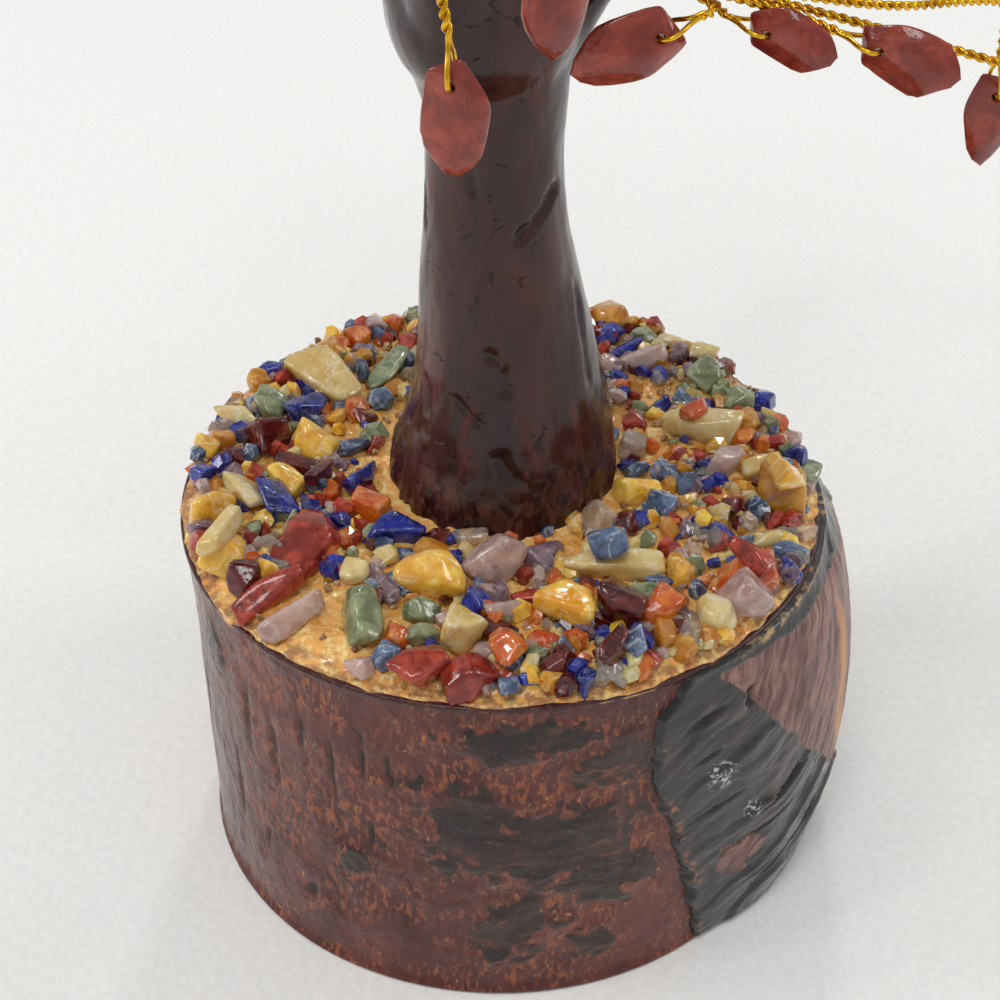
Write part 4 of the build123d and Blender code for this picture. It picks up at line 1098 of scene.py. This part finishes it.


# Creases pressed in the putty, also painted dark as shade: start and end (compass angle, height), half width
# and depth
CREASES = (
    (-22, 87.0, -76, 81.5, 0.42, 0.6), (-101, 70.0, -87, 68.2, 0.45, 0.45), (-88, 68.8, -85, 64.5, 0.4, 0.5),
    (-91, 58.5, -83, 55.2, 0.42, 0.45), (-85, 55.8, -62, 53.0, 0.4, 0.4), (-122, 63.9, -95, 61.0, 0.3, 0.35),
    (-150, 64.5, -139, 59.5, 0.35, 0.35), (-114, 91.0, -112, 86.5, 0.6, 0.35), (-20, 76, -34, 62, 0.4, 0.4),
    (150, 80, 120, 66, 0.5, 0.5), (60, 92, 84, 78, 0.5, 0.4), (30, 62, 58, 56, 0.4, 0.4),
    (-176, 88, -160, 80, 0.4, 0.4),
)
CREASE_RADIUS = 8.5
# Places where the gloss of the putty is broken: compass angle, height, half width in degrees and half height
DULL_PLACES = (
    (-67, 79.5, 9, 3.5), (-108, 58, 6, 5), (-70, 60, 7, 4.5), (-60, 99, 12, 3), (-96, 74, 6, 3),
    (100, 75, 10, 4), (40, 62, 8, 5), (170, 90, 9, 4), (-160, 66, 8, 4),
)


def build_trunk(material):
    """Putty trunk and limbs: the solid's own form made into an even skin, relaxed, and pushed in and out.

    The push is slow lumps, hand-drawn ripples along the height, creases cut as soft V grooves, and coarse
    fibre round the foot.
    """
    copy = cad_nodes["trunk"].copy()
    copy.data = cad_nodes["trunk"].data.copy()
    copy.parent = None
    bpy.context.scene.collection.objects.link(copy)
    weld = copy.modifiers.new("weld", "WELD")
    weld.merge_threshold = 1e-5
    skin = copy.modifiers.new("skin", "REMESH")
    skin.mode = "VOXEL"
    skin.voxel_size = TRUNK_VOXEL * MM
    relax = copy.modifiers.new("relax", "SMOOTH")
    relax.factor = 0.5
    relax.iterations = 20
    bpy.context.view_layer.update()
    skinned = bpy.data.meshes.new_from_object(copy.evaluated_get(bpy.context.evaluated_depsgraph_get()))
    bpy.data.objects.remove(copy)
    points = values_of(skinned.vertices, "co", np.float32, 3).astype(float) / MM
    normals = values_of(skinned.vertices, "normal", np.float32, 3).astype(float)
    quads = values_of(skinned.loops, "vertex_index", np.int32, 1).reshape(-1, 4)
    bpy.data.meshes.remove(skinned)
    angle = np.degrees(np.arctan2(points[:, 1] - TRUNK_BACKSET, points[:, 0]))
    height = points[:, 2]
    radius = np.hypot(points[:, 0], points[:, 1] - TRUNK_BACKSET)
    column = (1 - ease(radius, 15.5, 17.0)) * (1 - ease(height, 100, 108))
    push = 0.34 * rough_noise(points / np.array([9, 9, 13]), 101, 2)
    push += 0.10 * rough_noise(points / np.array([2.6, 2.6, 6.0]), 103, 3)
    # Share of painted shade along each crease
    crease = np.zeros(len(points))
    for start_angle, start_height, end_angle, end_height, half_width, depth in CREASES:
        arc = np.radians((angle - start_angle + 180) % 360 - 180) * radius
        run = np.array([np.radians(end_angle - start_angle) * CREASE_RADIUS, end_height - start_height])
        place = np.stack([arc, height - start_height], -1)
        share = np.clip(place @ run / (run @ run), 0, 1)
        away = np.linalg.norm(place - share[:, None] * run, axis=1) + 0.3 * rough_noise(points / 1.8, 107, 2)
        fade = ease(share, 0.0, 0.2) * ease(1 - share, 0.0, 0.2) * column
        push -= depth * (1 - ease(away, 0.0, half_width * 2.2)) * fade
        crease = np.maximum(crease, (1 - ease(away, 0.0, half_width)) * fade)
    dull = ease(ovals(angle + 6 * push, height + 4 * push, DULL_PLACES), 0.25, 0.75) * column
    foot = (1 - ease(height + 2.5 * rough_noise(points / 5.0, 109, 3), 50.0, 57.0)) * (radius < 16)
    push += foot * (0.35 * rough_noise(points / np.array([1.6, 1.6, 3.2]), 113, 3) + 0.3)
    points = points + normals * push[:, None]
    points[:, 2] = np.maximum(points[:, 2], LOG_HEIGHT)
    make_piece("putty_trunk", [Shell(points, quads)], material, "putty", ["trunk"],
               foot=foot, crease=crease, dull=dull)


LAMP_TARGET = (0, 0, 0.07)


def build_stage():
    """Pale cloth-white floor, lamps above, at each side and behind, a window lamp, and an even pale sky."""
    floor_mesh = bpy.data.meshes.new("floor")
    floor_mesh.from_pydata([(-2, -2, 0), (2, -2, 0), (2, 2, 0), (-2, 2, 0)], [], [(0, 1, 2, 3)])
    floor = bpy.data.objects.new("floor", floor_mesh)
    bpy.context.scene.collection.objects.link(floor)
    material, tree, shader, place = new_finish("floor_cloth")
    weave = mask(tree, place, 900, 0.3, 0.7, 3)
    fill(tree, shader, {
        "Base Color": tint(tree, weave, (236, 236, 234), (242, 242, 240)),
        "Normal": bumped(tree, weave, 0.0002, 0.15), "Roughness": 0.9, "Specular IOR Level": 0.1})
    floor_mesh.materials.append(material)
    lamps = (
        ("lamp_above", (-0.15, -0.55, 1.35), 0.45, 4.8),
        ("lamp_left", (-1.10, 0.05, 0.55), 0.35, 3.4),
        ("lamp_right", (1.05, 0.15, 0.60), 0.35, 2.6),
        ("lamp_back", (0.10, 0.75, 0.85), 0.1, 1.2),
        ("lamp_window", (-0.45, -0.15, 1.05), 0.08, 0.8),
    )
    for name, place, size, power in lamps:
        light = bpy.data.lights.new(name, "AREA")
        light.size = size
        light.energy = power
        lamp = bpy.data.objects.new(name, light)
        bpy.context.scene.collection.objects.link(lamp)
        lamp.location = place
        toward = np.array(LAMP_TARGET) - np.array(place)
        flat = np.hypot(toward[0], toward[1])
        lamp.rotation_euler = (np.arctan2(flat, -toward[2]), 0, np.arctan2(toward[1], toward[0]) - np.pi / 2)
    world = bpy.data.worlds.new("sky")
    bpy.context.scene.world = world
    world.use_nodes = True
    sky = world.node_tree.nodes["Background"]
    sky.inputs["Color"].default_value = (1.0, 1.0, 0.995, 1.0)
    sky.inputs["Strength"].default_value = 0.54


def build_camera():
    """Camera in front of the tree, looking down on the base as the photograph does."""
    camera = bpy.data.cameras.new("camera")
    camera.sensor_width = 36.0
    camera.lens = 65.5
    camera.clip_start = 0.01
    placed = bpy.data.objects.new("camera", camera)
    bpy.context.scene.collection.objects.link(placed)
    placed.location = (0.0, -0.1670, 0.1762)
    placed.rotation_euler = (np.radians(51.6), 0.0, 0.0)
    bpy.context.scene.camera = placed
    bpy.context.scene.view_settings.view_transform = "Standard"


build_camera()
build_stage()
gold = gold_finish()
jasper = stone_finish("leaf_jasper", (116, 34, 26), (168, 68, 48), (80, 22, 20), 260, 0.35, 0.08, 0.0, 0.2)
build_log(log_finish())
build_bark(bark_finish())
crumb_mix = stone_finish("crumb_mix", (120, 76, 44), (226, 190, 136), (96, 74, 62), 500, 0.5, 0.1)
build_bed(bed_finish(), crumb_mix)
build_trunk(putty_finish())
for stone, values in STONES.items():
    build_chips(stone, stone_finish(f"{stone}_polished", *values))
build_branches(gold, jasper)
armature = cad_nodes["armature_core"]
armature.data.materials.clear()
armature.data.materials.append(gold)
